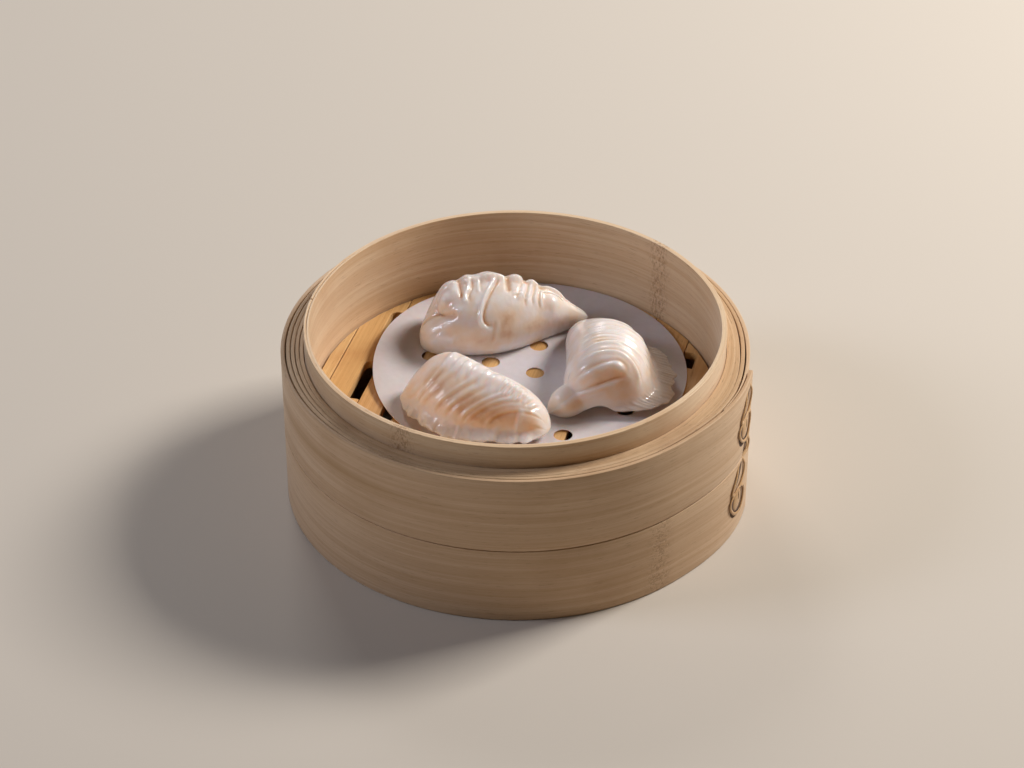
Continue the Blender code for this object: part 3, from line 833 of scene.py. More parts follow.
        def place(along: float, around: float) -> tuple[float, float, float]:
            """Point of the cane for the shares along and around it."""
            number = round(along * self.steps) % self.steps
            arc, height, rise = rows[number]
            spin = 2 * pi * around
            wide = 0.5 * loop.width * cos(spin)
            arc = min(arc + sides[number][0] * wide, self.right_limit + 0.3)
            height = height + sides[number][1] * wide
            angle = degrees(arc / (self.wall.band_r + self.wall.lap_rise))
            travel = TURN + angle - self.wall.band_start
            above = rise + 0.5 * loop.thick * (1.0 + sin(spin)) - 0.1
            radius = self.wall.band_outer(angle, travel) + above
            turn = radians(angle)
            return radius * cos(turn), radius * sin(turn), height

        return wrapped_grid(self.steps, self.rows, place, closed_along=True)

    def build(self) -> None:
        """Sweep every loop and dress it."""
        material = CANE.make()
        for loop in self.loops:
            place_piece(loop.name, self.shape(loop), material, "split_cane", loop.stands_for)
        shade = LACE_SHADE.make()
        for lens in self.lenses:
            finish = material if lens.cane else shade
            place_piece(lens.name, self.lens_shape(lens), finish, "split_cane")


@dataclass
class SlatFloor:
    """The slats, their ring and the cross-bars: frame meshes with eased edges and bamboo on them."""

    eased: float = 0.28
    tones: tuple[tuple[str, str], ...] = (("E3B87C", "C89354"), ("DDAD6F", "BE8A4A"),
                                          ("E8C28A", "CE9F62"))

    def dress(self, node: str, material: bpy.types.Material) -> None:
        """Ease a frame node's edges and give it its finish.

        Args:
            node: The frame node.
            material: Its finish.
        """
        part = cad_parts[node]
        part.data.materials.clear()
        part.data.materials.append(material)
        weld = part.modifiers.new("join_corners", "WELD")
        weld.merge_threshold = 0.01 * MM
        edges = part.modifiers.new("eased_edges", "BEVEL")
        edges.width = self.eased * MM
        edges.segments = 2
        edges.limit_method = "ANGLE"
        edges.angle_limit = radians(40.0)
        LOG.info("%s: kept from the frame", node)

    def build(self) -> None:
        """Dress the slats, the ring and the cross-bars."""
        finishes = [replace(SLAT, name=f"bamboo_slat_{number}", pale=pale, brown=brown).make()
                    for number, (pale, brown) in enumerate(self.tones, start=1)]
        slats = sorted(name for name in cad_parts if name.startswith("slat_"))
        for number, node in enumerate(slats):
            self.dress(node, finishes[number * 2 % len(finishes)])
        self.dress("floor_ring", replace(LEDGE, name="bamboo_floor_ring").make())
        bar = CROSS_BAR.make()
        for node in ("cross_bar_near", "cross_bar_far"):
            self.dress(node, bar)


@dataclass
class PaperLiner:
    """A round of steamer paper with round holes, its back left edge curled up."""

    radius: float = 54.7
    thick: float = 0.35
    middle: tuple[float, float] = (5.1, 13.4)
    holes_middle: tuple[float, float] = (6.9, 11.7)
    hole_r: float = 3.25
    hole_rings: tuple[tuple[float, int, float], ...] = ((0.0, 1, 0.0), (16.8, 5, 85.0), (38.0, 9, 84.0))
    curl: float = 3.4
    curl_turn: float = 152.0
    curl_spread: float = 34.0
    curl_from: float = 0.74
    wave_rise: float = 0.45         # height of the faint wave near the edge
    wave_from: float = 0.55
    wave_long: float = 17.0
    gap: float = 0.3                # air between paper and slats, as in the frame
    steps: int = 168
    rings: int = 30

    def lift(self, x: float, y: float) -> float:
        """Height of the paper over its flat place: a curl at the back left and a faint wave.

        Args:
            x: Place to the right.
            y: Place to the back.

        Returns:
            The lift, never below zero.
        """
        dx, dy = x - self.middle[0], y - self.middle[1]
        reach = hypot(dx, dy) / self.radius
        turn = degrees(atan2(dy, dx))
        curl = float(ease(reach, self.curl_from, 1.0)) * bump_at(turn, self.curl_turn, self.curl_spread)
        wave = 0.5 + 0.5 * wander(x, y, 0.0, self.wave_long)
        return self.curl * curl + self.wave_rise * wave * float(ease(reach, self.wave_from, 1.0))

    def top(self, x: float, y: float) -> float:
        """Height of the paper's upper face."""
        return FLOOR_TOP + self.gap + self.thick + self.lift(x, y)

    def round_sheet(self) -> Shape:
        """Spin the round of paper and give it its thickness.

        Returns:
            The sheet without holes.
        """
        shape = bmesh.new()
        line = [shape.verts.new((self.radius * ring / self.rings, 0.0, 0.0))
                for ring in range(self.rings + 1)]
        edges = [shape.edges.new(pair) for pair in zip(line, line[1:])]
        bmesh.ops.spin(shape, geom=line + edges, cent=(0, 0, 0), axis=(0, 0, 1), angle=2 * pi,
                       steps=self.steps, use_merge=True)
        bmesh.ops.remove_doubles(shape, verts=shape.verts, dist=0.001)
        bmesh.ops.recalc_face_normals(shape, faces=shape.faces)
        shape.faces.ensure_lookup_table()
        if shape.faces[0].normal.z < 0:
            bmesh.ops.reverse_faces(shape, faces=shape.faces)
        for vert in shape.verts:
            x, y = vert.co.x + self.middle[0], vert.co.y + self.middle[1]
            vert.co = (x, y, self.top(x, y))
        bmesh.ops.solidify(shape, geom=shape.faces[:], thickness=self.thick)
        return shape

    def punches(self) -> Shape:
        """Round cutters for the holes."""
        shape = bmesh.new()
        for ring, count, first in self.hole_rings:
            for number in range(count):
                turn = radians(first + TURN * number / count)
                made = bmesh.ops.create_cone(shape, cap_ends=True, segments=28, radius1=self.hole_r,
                                             radius2=self.hole_r, depth=20.0)
                bmesh.ops.translate(shape, verts=made["verts"],
                                    vec=(self.holes_middle[0] + ring * cos(turn),
                                         self.holes_middle[1] + ring * sin(turn), FLOOR_TOP))
        return shape

    def build(self) -> None:
        """Make the sheet, punch it and dress it."""
        sheet = place_piece("liner", self.round_sheet(), SteamerPaper().make(), "liner_paper",
                            ("paper_liner",))
        cutter_mesh = bpy.data.meshes.new("hole_punches")
        cutters = self.punches()
        bmesh.ops.scale(cutters, vec=(MM, MM, MM), verts=cutters.verts)
        cutters.to_mesh(cutter_mesh)
        cutters.free()
        cutter = bpy.data.objects.new("hole_punches", cutter_mesh)
        bpy.context.scene.collection.objects.link(cutter)
        punch = sheet.modifiers.new("holes", "BOOLEAN")
        punch.operation = "DIFFERENCE"
        punch.solver = "EXACT"
        punch.object = cutter
        bpy.context.view_layer.update()
        graph = bpy.context.evaluated_depsgraph_get()
        finished = bpy.data.meshes.new_from_object(sheet.evaluated_get(graph))
        sheet.modifiers.clear()
        sheet.data = finished
        finished.name = "liner"
        finished.shade_smooth()
        finished.set_sharp_from_angle(angle=radians(40.0))
        bpy.data.objects.remove(cutter)


# --- dumplings --------------------------------------------------------------------------------
@dataclass(frozen=True)
class Fold:
    """A fold or crease of skin along a smooth line.

    Attributes:
        path: Points of the line as places along (-1 to 1) and over (0 front foot to 1 back foot).
        height: Height of the fold, or minus the depth of a crease.
        width: Half width of the fold.
        groove: Depth of the groove beside it, as a share of the height.
        side: Which side the groove is on, 1 or -1.
        blend: Share of the line over which each end fades.
    """

    path: tuple[tuple[float, float], ...]
    height: float
    width: float
    groove: float = 0.55
    side: int = 1
    blend: float = 0.22

    def line(self, unit: np.ndarray) -> np.ndarray:
        """The smooth line in millimetres on the laid-out skin."""
        points = np.array(self.path, float)
        share = np.linspace(0.0, 1.0, len(points))
        fine = np.linspace(0.0, 1.0, 22)
        order = min(len(points) - 1, 3)
        axes = [np.polyval(np.polyfit(share, points[:, axis], order), fine) for axis in (0, 1)]
        return np.stack(axes, 1) * unit

    def relief(self, laid: np.ndarray, unit: np.ndarray) -> np.ndarray:
        """Height that the fold adds to the skin.

        Args:
            laid: Places on the laid-out skin in millimetres.
            unit: Millimetres in one unit along and over.

        Returns:
            The height for each place.
        """
        line = self.line(unit)
        best = np.full(laid.shape[:-1], 1e9)
        signed = np.zeros_like(best)
        share = np.zeros_like(best)
        last = len(line) - 1
        for number in range(last):
            start, step = line[number], line[number + 1] - line[number]
            off = laid - start
            t = np.clip((off @ step) / (step @ step + 1e-9), 0.0, 1.0)
            gap = off - t[..., None] * step
            distance = np.linalg.norm(gap, axis=-1)
            nearer = distance < best
            turn = np.sign(step[0] * off[..., 1] - step[1] * off[..., 0])
            best = np.where(nearer, distance, best)
            signed = np.where(nearer, distance * turn, signed)
            share = np.where(nearer, (number + t) / last, share)
        ends = ease(share, 0.0, self.blend) * (1.0 - ease(share, 1.0 - self.blend, 1.0))
        ridge = np.exp(-(signed / self.width) ** 2)
        hollow = np.exp(-((signed * self.side - 1.5 * self.width) / (0.8 * self.width)) ** 2)
        return self.height * ends * (ridge - self.groove * hollow)


@dataclass(frozen=True)
class Tint:
    """A soft tan patch: filling showing through, and painted shade where it lies in a hollow beside a fold.
    Its place along and over, reach in mm, and strength.
    """

    place: tuple[float, float]
    reach: tuple[float, float]
    strength: float


@dataclass(frozen=True)
class Swell:
    """A local swelling or hollow: the skin near the middle is pushed away from it, or drawn to it."""

    middle: tuple[float, float, float]
    reach: float
    push: float

    def moved(self, points: np.ndarray) -> np.ndarray:
        """The points after the push."""
        away = points - np.array(self.middle)
        far = np.linalg.norm(away, axis=-1, keepdims=True) + 1e-6
        return points + away / far * self.push * np.exp(-(far / self.reach) ** 2)


@dataclass
class Dumpling:
    """A pleated half-moon dumpling, long axis on x and front at -y before it is turned.

    Attributes:
        name: The piece's name.
        stands_for: The frame node.
        middle: Place of its middle.
        turn: Direction of its long axis, degrees from +X.
        length: Tip to tip.
        front, back, crest, height: Half widths, crest line and height at the five stations.
        blunt: Bluntness of the near and far tip.
        trim: How far the near and far end are drawn in.
        waist: Height of the widest line.
        tip_lift, tip_shift: Rise and sideways shift of the tips.
        flange: Width of the pressed edge, flange_at its place around, flange_reach its ends.
        girth: Millimetres of skin from foot to foot over the crest.
        folds: The folds and creases.
        tints: Patches where the filling shows; some are painted shade in hollows beside folds.
        base_tint: How much of the filling shows all over.
        swells: Local swellings and hollows, applied before the folds.
    """

    name: str
    stands_for: str
    middle: tuple[float, float]
    turn: float
    length: float
    front: tuple[float, ...]
    back: tuple[float, ...]
    crest: tuple[float, ...]
    height: tuple[float, ...]
    blunt: tuple[float, float]
    trim: tuple[float, float]
    waist: float
    tip_lift: tuple[float, float]
    tip_shift: tuple[float, float]
    flange: float
    flange_at: float
    flange_reach: tuple[float, float]
    girth: float
    folds: tuple[Fold, ...]
    tints: tuple[Tint, ...]
    base_tint: float = 0.3
    swells: tuple[Swell, ...] = ()
    # share of the pressed edge that is clear and takes painted see-through shade; the rest is milky
    glassy: float = 1.0             # how clear and brown the pressed edge is
    edge_grain: float = 1.5         # size of the unevenness of the pressed edge
    crimp: float = 0.3              # height of the ripples in the pressed edge
    crimp_step: float = 0.06        # ripple spacing along
    wrinkle: float = 0.16
    edge_rough: float = 0.30        # fine unevenness of the pressed edge
    arch: tuple[float, float, float] = (0.0, 0.0, 1.0)  # near underside: lift, place across, half width
    flange_thin: float = 0.07       # half thickness of the pressed edge, radians around
    steps_along: int = 380
    steps_around: int = 150
    crowd: float = 0.7              # how strongly the faces crowd towards the pressed edge

    def along(self, values: tuple[float, ...], s: np.ndarray) -> np.ndarray:
        """A size at the place s, smooth through its five stations."""
        stations = (-1.0, -0.5, 0.0, 0.5, 1.0)
        return np.polyval(np.polyfit(stations, values, len(stations) - 1), s)

    def pouch(self, s: np.ndarray, phi: np.ndarray) -> np.ndarray:
        """The smooth skin.

        Args:
            s: Places from tip to tip, -1 to 1.
            phi: Places round, from the front foot (0) over the crest (pi / 2).

        Returns:
            Points in the dumpling's own axes.
        """
        near = s < 0
        close = np.sqrt(np.maximum(1.0 - np.abs(s) ** np.where(near, *self.blunt), 0.0))
        tip = np.where(near, *self.tip_shift) * s ** 2
        lift = np.where(near, *self.tip_lift) * np.abs(s) ** 5
        across, upward = np.abs(np.cos(phi)), np.abs(np.sin(phi))
        front = -self.along(self.front, s) * close
        back = self.along(self.back, s) * close
        crest = self.along(self.crest, s) * close
        height = self.along(self.height, s) * close ** 1.3
        waist = self.waist * close
        edge = np.where(np.cos(phi) > 0, front, back)
        centre = (front + back) / 2
        over = np.sin(phi) > 0
        y = np.where(over, crest + (edge - crest) * across, centre + (edge - centre) * across ** 0.8)
        z = np.where(over, waist + (height - waist) * upward, waist * (1.0 - 1.5 * upward))
        x = self.length / 2 * s + self.trim[0] * ease(-s, 0.45, 1.0) - self.trim[1] * ease(s, 0.45, 1.0)
        return np.stack([x, y + tip, np.maximum(z, 0.0) + lift], axis=-1)

    def outward(self, s: np.ndarray, phi: np.ndarray) -> np.ndarray:
        """Unit normals of the smooth skin."""
        step = 0.001
        reach = np.sqrt(np.maximum(1.0 - s ** 2, 0.0)) * step
        ahead = self.pouch(s + reach, phi) - self.pouch(s - reach, phi)
        round_ = self.pouch(s, phi + step) - self.pouch(s, phi - step)
        normal = np.cross(ahead, round_)
        return normal / (np.linalg.norm(normal, axis=-1, keepdims=True) + 1e-12)

    def skin(self, s: np.ndarray, theta: np.ndarray) -> tuple[np.ndarray, ...]:
        """Finished skin with folds, wrinkles and the pressed edge.

        Args:
            s: Places along.
            theta: Even places around.

        Returns:
            Points, and for each its tan share (filling showing through, and painted shade in grooves and
            hollows), its share of painted see-through shade at the pressed edge, and how much it is pressed.
        """
        phi = theta - self.crowd * np.sin(theta - self.flange_at)
        phi = np.mod(phi, 2 * pi)
        points = self.pouch(s, phi)
        normal = self.outward(s, phi)
        for swell in self.swells:
            points = swell.moved(points)
        unit = np.array([self.length / 2, self.girth])
        over = phi / pi
        over = np.where(over > 1.75, over - 2.0, over)
        laid = np.stack([s, over], axis=-1) * unit
        relief = sum(fold.relief(laid, unit) for fold in self.folds)
        relief = relief * ease(over, -0.15, 0.02) * (1.0 - ease(over, 1.0, 1.15))
        rough = np.array([wander(*point, 7.0) + 0.45 * wander(*point, 2.6) + 0.2 * wander(*point, 1.1)
                          for point in points])
        tips = np.sqrt(np.maximum(1.0 - s ** 2, 0.0)) ** 0.5
        off = np.mod(phi - self.flange_at + pi, 2 * pi) - pi
        held = (ease(s, self.flange_reach[0], self.flange_reach[0] + 0.2)
                * (1.0 - ease(s, self.flange_reach[1] - 0.2, self.flange_reach[1])))
        uneven = 1.0 + 0.07 * np.sin(2 * pi * s / 0.46 + 1.0) + 0.04 * np.sin(2 * pi * s / 0.19)
        blade = np.exp(-(off / self.flange_thin) ** 2)
        skirt = np.exp(-(off / (2.2 * self.flange_thin)) ** 2)
        fine = np.array([wander(*point, self.edge_grain) for point in points]) * skirt * held
        raised = (relief + self.wrinkle * rough + self.edge_rough * fine) * tips
        points = points + normal * raised[..., None]
        fin = self.flange * held * uneven * (0.7 * blade + 0.3 * skirt)
        ripple = self.crimp * np.sin(2 * pi * s / self.crimp_step + 2.0 * np.sin(9.0 * s)) * skirt * held
        points[..., 1] -= fin * cos(self.flange_at) - ripple * sin(self.flange_at)
        points[..., 2] += fin * sin(self.flange_at) + ripple * cos(self.flange_at)
        lifted, place, half = self.arch
        arch = lifted * np.exp(-((points[..., 1] - place) / half) ** 2) * ease(-s, 0.55, 0.95)
        points[..., 2] = np.maximum(points[..., 2], arch)
        filling_and_shade = np.full_like(s, self.base_tint)
        for tint in self.tints:
            gap = (laid - np.array(tint.place) * unit) / np.array(tint.reach)
            filling_and_shade = filling_and_shade + tint.strength * np.exp(-np.sum(gap ** 2, axis=-1))
        # Raised folds take less tan and grooves more: doubled folds show whiter, and painted shade lies in
        # the grooves. The milky part of the pressed edge takes less tan too.
        filling_and_shade = filling_and_shade - 0.45 * np.clip(relief, -0.8, 1.0) - 0.7 * (1.0 - self.glassy) * skirt * held
        pressed = skirt * held * min(self.flange / 3.0, 1.0)
        return points, np.clip(filling_and_shade, 0.0, 1.0), pressed * self.glassy, pressed

    def build(self, liner: PaperLiner, material: bpy.types.Material) -> None:
        """Shape the dumpling on the paper and dress it.

        Args:
            liner: The paper it lies on.
            material: The skin.
        """
        shape = bmesh.new()
        bmesh.ops.create_uvsphere(shape, u_segments=self.steps_around, v_segments=self.steps_along,
                                  radius=1.0)
        ball = np.array([vert.co[:] for vert in shape.verts])
        theta = -np.arctan2(ball[:, 1], ball[:, 0])
        points, filling_and_shade, thin, pressed = self.skin(np.clip(ball[:, 2], -1.0, 1.0), theta)
        turn = radians(self.turn)
        seat = liner.top(*self.middle) - liner.lift(*self.middle) + liner.gap
        filling = shape.verts.layers.float.new("filling")
        edge = shape.verts.layers.float.new("thin_edge")
        press = shape.verts.layers.float.new("pressed")
        for vert, (x, y, z), tint, edge_shade, pinch in zip(shape.verts, points, filling_and_shade, thin, pressed):
            spot = (self.middle[0] + x * cos(turn) - y * sin(turn),
                    self.middle[1] + x * sin(turn) + y * cos(turn))
            vert.co = (*spot, seat + max(z, liner.lift(*spot)))
            vert[filling] = tint
            vert[edge] = edge_shade
            vert[press] = pinch
        place_piece(self.name, shape, material, "dumpling_skin", (self.stands_for,), smooth=180.0)


def fan_pleats() -> tuple[Fold, ...]:
    """Slanting pleats of the front dumpling, which fan out from its foot to its crest."""
    pleats = []
    for number in range(-2, 9):
        low, high = -0.50 + 0.12 * number, -0.25 + 0.16 * number
        strength = (0.34, 0.22, 0.42)[number % 3] - 0.015 * abs(number - 3)
        low += (0.0, 0.025, -0.02, 0.01)[number % 4]
        path = ((low - 0.10, 0.08), (low, 0.20), (0.5 * (low + high) + 0.02, 0.32), (min(high, 0.9), 0.43))
        pleats.append(Fold(path, strength, (0.85, 1.1, 0.7)[number % 3], groove=0.8, side=-1))
    return tuple(pleats)


BACK_DUMPLING = Dumpling(
    "crystal_dumpling_back", "dumpling_back", (-5.0, 35.2), 10.3, 59.0,
    front=(8.8, 13.7, 14, 8, 4.4), back=(11.1, 14, 11.5, 9.8, 5.6), crest=(6, 3.6, 2.5, 1.2, -0.3),
    height=(18.2, 21.5, 22.2, 19.4, 13), blunt=(5, 2.3), trim=(1.4, -1.4), waist=8.0, tip_lift=(0, 4.5),
    tip_shift=(-1.1, -1.6),
    flange=0.6, flange_at=pi / 2, flange_reach=(-1, 1), girth=50.0,
    folds=(
        Fold(((-0.66, 0.68), (-0.62, 0.52), (-0.60, 0.36)), 0.9, 3.4, groove=0.0),
        Fold(((-0.38, 0.72), (-0.38, 0.58), (-0.38, 0.46)), 0.8, 2.0, groove=0.0),
        Fold(((-0.16, 0.76), (-0.13, 0.60), (-0.13, 0.45)), 1.5, 4.0, groove=0.0),
        Fold(((0.22, 0.74), (0.21, 0.58), (0.18, 0.44)), 1.1, 2.3, groove=0.0),
        Fold(((0.41, 0.72), (0.40, 0.58), (0.36, 0.44)), 0.9, 1.7, groove=0.0),
        Fold(((-0.49, 0.72), (-0.49, 0.54), (-0.50, 0.42), (-0.50, 0.34)), -1.1, 0.9, groove=0.0),
        Fold(((0.08, 0.72), (0.09, 0.54), (0.08, 0.42), (0.06, 0.34)), -1.3, 0.9, groove=0.0),
        Fold(((0.32, 0.72), (0.31, 0.56), (0.28, 0.44)), -1.0, 0.8, groove=0.0),
        Fold(((0.50, 0.70), (0.50, 0.54), (0.48, 0.44)), -0.9, 0.9, groove=0.0),
        Fold(((-0.38, 0.56), (-0.40, 0.43), (-0.45, 0.38), (-0.44, 0.29)), 0.75, 0.75, groove=0.8, side=1),
        Fold(((-0.27, 0.50), (-0.28, 0.44), (-0.30, 0.37)), 0.4, 0.6),
        Fold(((-0.05, 0.50), (-0.10, 0.42), (-0.22, 0.36), (-0.30, 0.27), (-0.32, 0.18), (-0.27, 0.12),
              (-0.17, 0.09)), 0.80, 0.78, groove=1.0, side=1, blend=0.12),
        Fold(((0.30, 0.50), (0.24, 0.37), (0.15, 0.28)), 0.6, 0.7, side=-1),
        Fold(((0.10, 0.32), (0.16, 0.35), (0.23, 0.33), (0.26, 0.27)), 0.35, 0.5, side=1),
        Fold(((0.40, 0.56), (0.33, 0.38), (0.29, 0.30), (0.27, 0.22)), 0.6, 0.6, groove=0.8, side=-1),
        Fold(((0.46, 0.54), (0.42, 0.38), (0.39, 0.32), (0.37, 0.22)), 0.6, 0.6, groove=0.8, side=-1),
        Fold(((0.51, 0.44), (0.48, 0.32), (0.47, 0.20)), 0.45, 0.6, groove=0.8, side=-1),
        Fold(((0.50, 0.42), (0.60, 0.41), (0.70, 0.43)), 0.55, 0.8, side=-1),
        Fold(((-0.99, 0.40), (-0.90, 0.35), (-0.76, 0.28), (-0.56, 0.23)), -1.0, 1.8, groove=0.0, blend=0.14),
        Fold(((0.63, 0.72), (0.62, 0.58), (0.60, 0.46)), 1.2, 3.2, groove=0.0),
        Fold(((-0.66, 0.32), (-0.58, 0.28), (-0.52, 0.25)), 0.5, 1.2, groove=0.0),
        Fold(((-0.88, 0.06), (-0.78, 0.03), (-0.62, 0.00)), 0.7, 2.0, groove=0.0),
        Fold(((-0.11, 0.16), (-0.13, 0.06), (-0.16, -0.06)), 0.22, 0.8, groove=1.0, side=-1),
    ),
    # The patch at (0.02, 0.12), right of the belly crease, is painted shade.
    tints=(Tint((-0.80, 0.36), (4, 5), 0.25), Tint((-0.68, 0.10), (4.5, 3), 0.38),
           Tint((0.02, 0.12), (3.6, 6), 0.48), Tint((0.37, 0.05), (4.5, 4.5), 0.36),
           Tint((-0.40, 0.33), (1.5, 3), 0.30), Tint((-0.4, 0.0), (9, 3), 0.30),
           Tint((0.1, 0.0), (14, 4), 0.18)),
    base_tint=0.20, crimp=0.04,
    swells=(Swell((-23.0, -3.0, 4.5), 6.6, 3.4), Swell((-21.5, -1.5, 12.5), 5.4, -4.0),
            Swell((-19.5, -1.0, 17.0), 4.5, 1.6), Swell((17.5, -3.0, 13.0), 6.0, 1.6)))

FRONT_DUMPLING = Dumpling(
    "crystal_dumpling_front", "dumpling_front", (-14.0, -15.3), -21.7, 55.0,
    front=(4.9, 11.2, 14.5, 11.4, 12.4), back=(17, 16.5, 11.4, 10, 8.7), crest=(12, 9.8, 4.2, 0.1, -0.9),
    height=(15.8, 19.0, 18.7, 17.8, 15), blunt=(2.9, 4), trim=(0.3, -0.5), waist=3.0, tip_lift=(1.3, 3),
    tip_shift=(-0.7, -1.1),
    flange=3.4, flange_at=0.0, flange_reach=(-1, 1), girth=43.0,
    folds=fan_pleats() + (
        Fold(((-0.50, 0.45), (-0.10, 0.45), (0.30, 0.47), (0.86, 0.53)), 0.7, 2.2, groove=0.1, blend=0.12),
        Fold(((0.72, 0.32), (0.71, 0.20), (0.69, 0.06)), 0.45, 0.9, groove=0.4, side=-1),
        Fold(((0.70, 0.05), (0.84, 0.11), (0.96, 0.24)), -0.5, 1.1, groove=0.0),
        Fold(((-0.80, 0.03), (-0.30, 0.03), (0.20, 0.02), (0.64, 0.02)), 0.35, 1.3, groove=0.4, side=1),
    ) + tuple(Fold(((place - 0.06, 0.34), (place, 0.46), (place + 0.05, 0.60)), tall, wide, groove=0.5,
                   side=-1, blend=0.3)
              for place, tall, wide in ((-0.40, 0.5, 1.5), (-0.24, 0.3, 1.0), (-0.13, 0.6, 1.2),
                                        (0.02, 0.35, 1.5), (0.15, 0.55, 1.0), (0.29, 0.4, 1.2)))
    + tuple(Fold(((place - 0.03, 0.36), (place, 0.44), (place + 0.04, 0.58)), 0.50, 0.5, groove=0.7, side=-1,
                 blend=0.3)
            for place in (0.40, 0.47, 0.53, 0.60, 0.66, 0.73, 0.80)),
    tints=(Tint((-0.52, 0.24), (8, 8), 0.42), Tint((0.0, 0.20), (10, 6), 0.50),
           Tint((0.40, 0.15), (8, 5), 0.45), Tint((0.82, 0.22), (4, 5), 0.20),
           Tint((-0.55, 0.04), (9, 3.5), -0.4), Tint((0.30, 0.02), (12, 2.5), -0.35)),
    base_tint=0.16, crimp=0.06, crimp_step=0.085, flange_thin=0.10, edge_rough=1.1, edge_grain=2.8,
    glassy=0.12,
    swells=(Swell((-17.5, -4.5, 1.8), 3.0, 1.0), Swell((-13.5, -7.0, 2.2), 2.6, 0.9),
            Swell((-9.0, -9.8, 1.8), 2.8, 1.1), Swell((-3.0, -12.0, 1.5), 2.4, 0.6),
            Swell((7.0, -12.5, 1.5), 2.4, 0.7), Swell((12.0, -13.0, 2.0), 2.8, 1.0)))

RIGHT_DUMPLING = Dumpling(
    "crystal_dumpling_right", "dumpling_right", (19.7, 11.4), 76.2, 57.0,
    front=(24.4, 29.9, 28.4, 24.1, 8.2), back=(-1.2, -0.3, 2.2, 5.3, 3.1),
    crest=(-16.8, -18.4, -13.4, -12.3, -4.2), height=(20.1, 21.8, 20.1, 16.9, 11.7),
    blunt=(5.5, 2.4), trim=(3.0, 0.7), waist=4.0, tip_lift=(0, 1.6), tip_shift=(2.7, 1.8),
    flange=7.5, flange_at=0.0, flange_reach=(-0.98, 0.75), girth=52.0,
    folds=(
        Fold(((-0.98, 0.50), (-0.96, 0.40), (-0.93, 0.28), (-0.89, 0.18)), 0.5, 1.0, groove=0.6, side=-1),
        Fold(((-0.97, 0.48), (-0.92, 0.34), (-0.85, 0.29), (-0.76, 0.22)), 0.9, 0.95, groove=0.8, side=1),
        Fold(((-0.92, 0.66), (-0.81, 0.56), (-0.73, 0.50), (-0.70, 0.43), (-0.70, 0.34), (-0.73, 0.27)),
             0.75, 1.1, groove=0.45, side=1),
        Fold(((-0.64, 0.72), (-0.55, 0.58), (-0.51, 0.48), (-0.52, 0.35), (-0.57, 0.19), (-0.60, 0.12)),
             0.8, 0.95, groove=0.6, side=1),
        Fold(((-0.48, 0.74), (-0.38, 0.60), (-0.31, 0.50), (-0.31, 0.40), (-0.28, 0.23), (-0.30, 0.12)),
             0.95, 0.95, groove=0.7, side=1),
        Fold(((-0.42, 0.50), (-0.41, 0.40), (-0.41, 0.30), (-0.43, 0.18)), 0.3, 0.6, groove=0.6, side=1),
        Fold(((-0.26, 0.72), (-0.17, 0.56), (-0.15, 0.44), (-0.14, 0.28), (-0.14, 0.14)), 0.5, 0.85, side=1),
        Fold(((-0.12, 0.74), (-0.05, 0.56), (-0.03, 0.42), (-0.01, 0.26), (0.0, 0.14)), 0.42, 0.8, side=1),
        Fold(((0.04, 0.72), (0.09, 0.56), (0.12, 0.40), (0.13, 0.24), (0.14, 0.14)), 0.4, 0.8, side=1),
        Fold(((0.20, 0.70), (0.24, 0.55), (0.27, 0.40), (0.27, 0.24), (0.28, 0.16)), 0.32, 0.8, side=1),
        Fold(((0.36, 0.68), (0.40, 0.52), (0.42, 0.38), (0.42, 0.24)), 0.3, 0.8, side=1),
    ) + tuple(Fold(((place - 0.04, 0.64), (place, 0.53), (place + 0.02, 0.40)), tall, 0.36)
              for place, tall in ((-0.36, 0.15), (-0.29, 0.20), (-0.24, 0.25), (-0.19, 0.15), (-0.09, 0.20),
                                  (-0.06, 0.25), (0.01, 0.15), (0.05, 0.20), (0.14, 0.25), (0.19, 0.15),
                                  (0.30, 0.20))),
    # The first five patches lie in the hollows between the pleats: painted shade there, with the filling
    # showing through.
    tints=(Tint((-0.74, 0.32), (2.4, 5), 0.32), Tint((-0.84, 0.42), (2.4, 7), 0.28),
           Tint((-0.80, 0.60), (3, 4), 0.20), Tint((-0.95, 0.30), (2, 7), 0.20),
           Tint((-0.22, 0.60), (3, 3), 0.25), Tint((-0.10, 0.10), (12, 3), 0.25)),
    base_tint=0.16, crimp=0.07, crimp_step=0.055, flange_thin=0.06, edge_rough=0.62, edge_grain=1.7,
    glassy=0.80, arch=(4.5, -15.5, 7.0),
    swells=(Swell((-23.0, -3.4, 3.0), 5.4, 3.1), Swell((-18.0, -4.5, 7.5), 6.0, -4.0),
            Swell((-9.0, -22.0, 4.0), 9.0, 1.5)))

DUMPLINGS = (BACK_DUMPLING, FRONT_DUMPLING, RIGHT_DUMPLING)


# --- studio -----------------------------------------------------------------------------------
@dataclass(frozen=True)
class SoftLight:
    """A square soft light that faces the basket.

    Attributes:
        name: Its name.
        direction: Where it stands, seen from the basket.
        distance: How far off, in metres.
        size: Its side, in metres.
        power: Its power in watts.
        colour: Its colour.
    """

    name: str
    direction: tuple[float, float, float]
    distance: float
    size: float
    power: float
    colour: str

    def build(self, target: Vector) -> None:
        """Put the light in its place, facing the target.

        Args:
            target: The place it faces, in metres.
        """
        data = bpy.data.lights.new(self.name, "AREA")
        data.size = self.size
        data.energy = self.power
        data.color = linear(self.colour)[:3]
        lamp = bpy.data.objects.new(self.name, data)
        way = Vector(self.direction).normalized()
        lamp.location = target + way * self.distance
        lamp.rotation_euler = way.to_track_quat("Z", "Y").to_euler()
        bpy.context.scene.collection.objects.link(lamp)
        LOG.info("light %s", self.name)


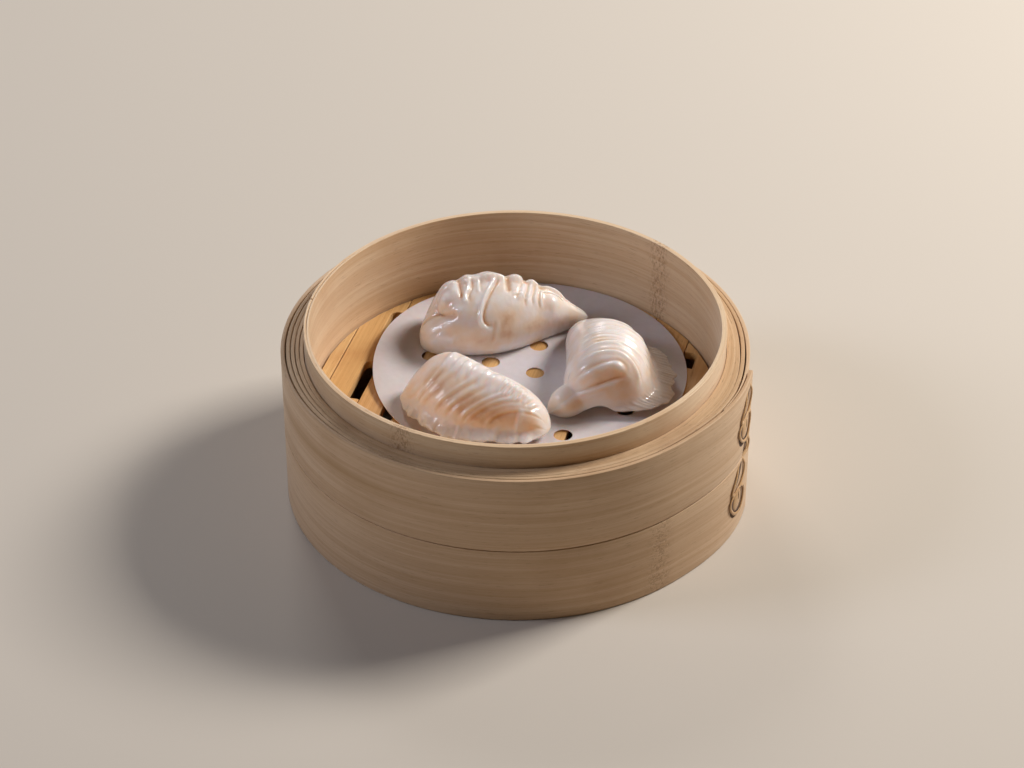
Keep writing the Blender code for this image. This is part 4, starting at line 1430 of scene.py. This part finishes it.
@dataclass
class Studio:
    """Pale floor, one soft key light from the back right, weak fill lights and the camera."""

    target: tuple[float, float, float] = (-1.14, 0.0, 39.57)
    elevation: float = 35.23
    distance: float = 993.9
    lens: float = 101.5
    lights: tuple[SoftLight, ...] = (
        SoftLight("key", (0.70, 0.34, 0.63), 1.4, 0.42, 21.5, "FFFBF5"),
        SoftLight("fill", (-0.83, -0.10, 0.54), 1.6, 0.45, 7.4, "E6EDFF"),
        SoftLight("back", (-0.22, 0.78, 0.60), 1.4, 0.36, 3.4, "FFFFFF"),
    )
    sky: str = "EAD2B6"
    sky_strength: float = 0.07

    def build(self) -> None:
        """Set up floor, lights, sky and camera."""
        shape = bmesh.new()
        bmesh.ops.create_grid(shape, x_segments=2, y_segments=2, size=3.0)
        bmesh.ops.translate(shape, verts=shape.verts, vec=(0.0, 0.0, -0.0002))
        mesh = bpy.data.meshes.new("floor")
        shape.to_mesh(mesh)
        shape.free()
        mesh.materials.append(StudioFloor().make())
        floor = bpy.data.objects.new("floor", mesh)
        bpy.context.scene.collection.objects.link(floor)
        for light in self.lights:
            light.build(Vector(self.target) * MM)
        world = bpy.data.worlds.new("studio")
        world.use_nodes = True
        world.node_tree.nodes["Background"].inputs["Color"].default_value = linear(self.sky)
        world.node_tree.nodes["Background"].inputs["Strength"].default_value = self.sky_strength
        scene = bpy.context.scene
        scene.world = world
        scene.view_settings.view_transform = "Standard"
        data = bpy.data.cameras.new("camera")
        data.lens = self.lens
        camera = bpy.data.objects.new("camera", data)
        rise = radians(self.elevation)
        offset = Vector((0.0, -cos(rise), sin(rise))) * self.distance
        camera.location = (Vector(self.target) + offset) * MM
        camera.rotation_euler = Euler((pi / 2 - rise, 0.0, 0.0))
        scene.collection.objects.link(camera)
        scene.camera = camera


def main() -> None:
    """Build every sub-assembly in order and set up the studio."""
    logging.basicConfig(level=logging.INFO, format="%(name)s %(message)s")
    wall = BasketWall()
    wall.build()
    Lacing(wall).build()
    SlatFloor().build()
    liner = PaperLiner()
    liner.build()
    skin = CrystalSkin().make()
    for dumpling in DUMPLINGS:
        dumpling.build(liner, skin)
    Studio().build()


if __name__ == "__main__":
    main()
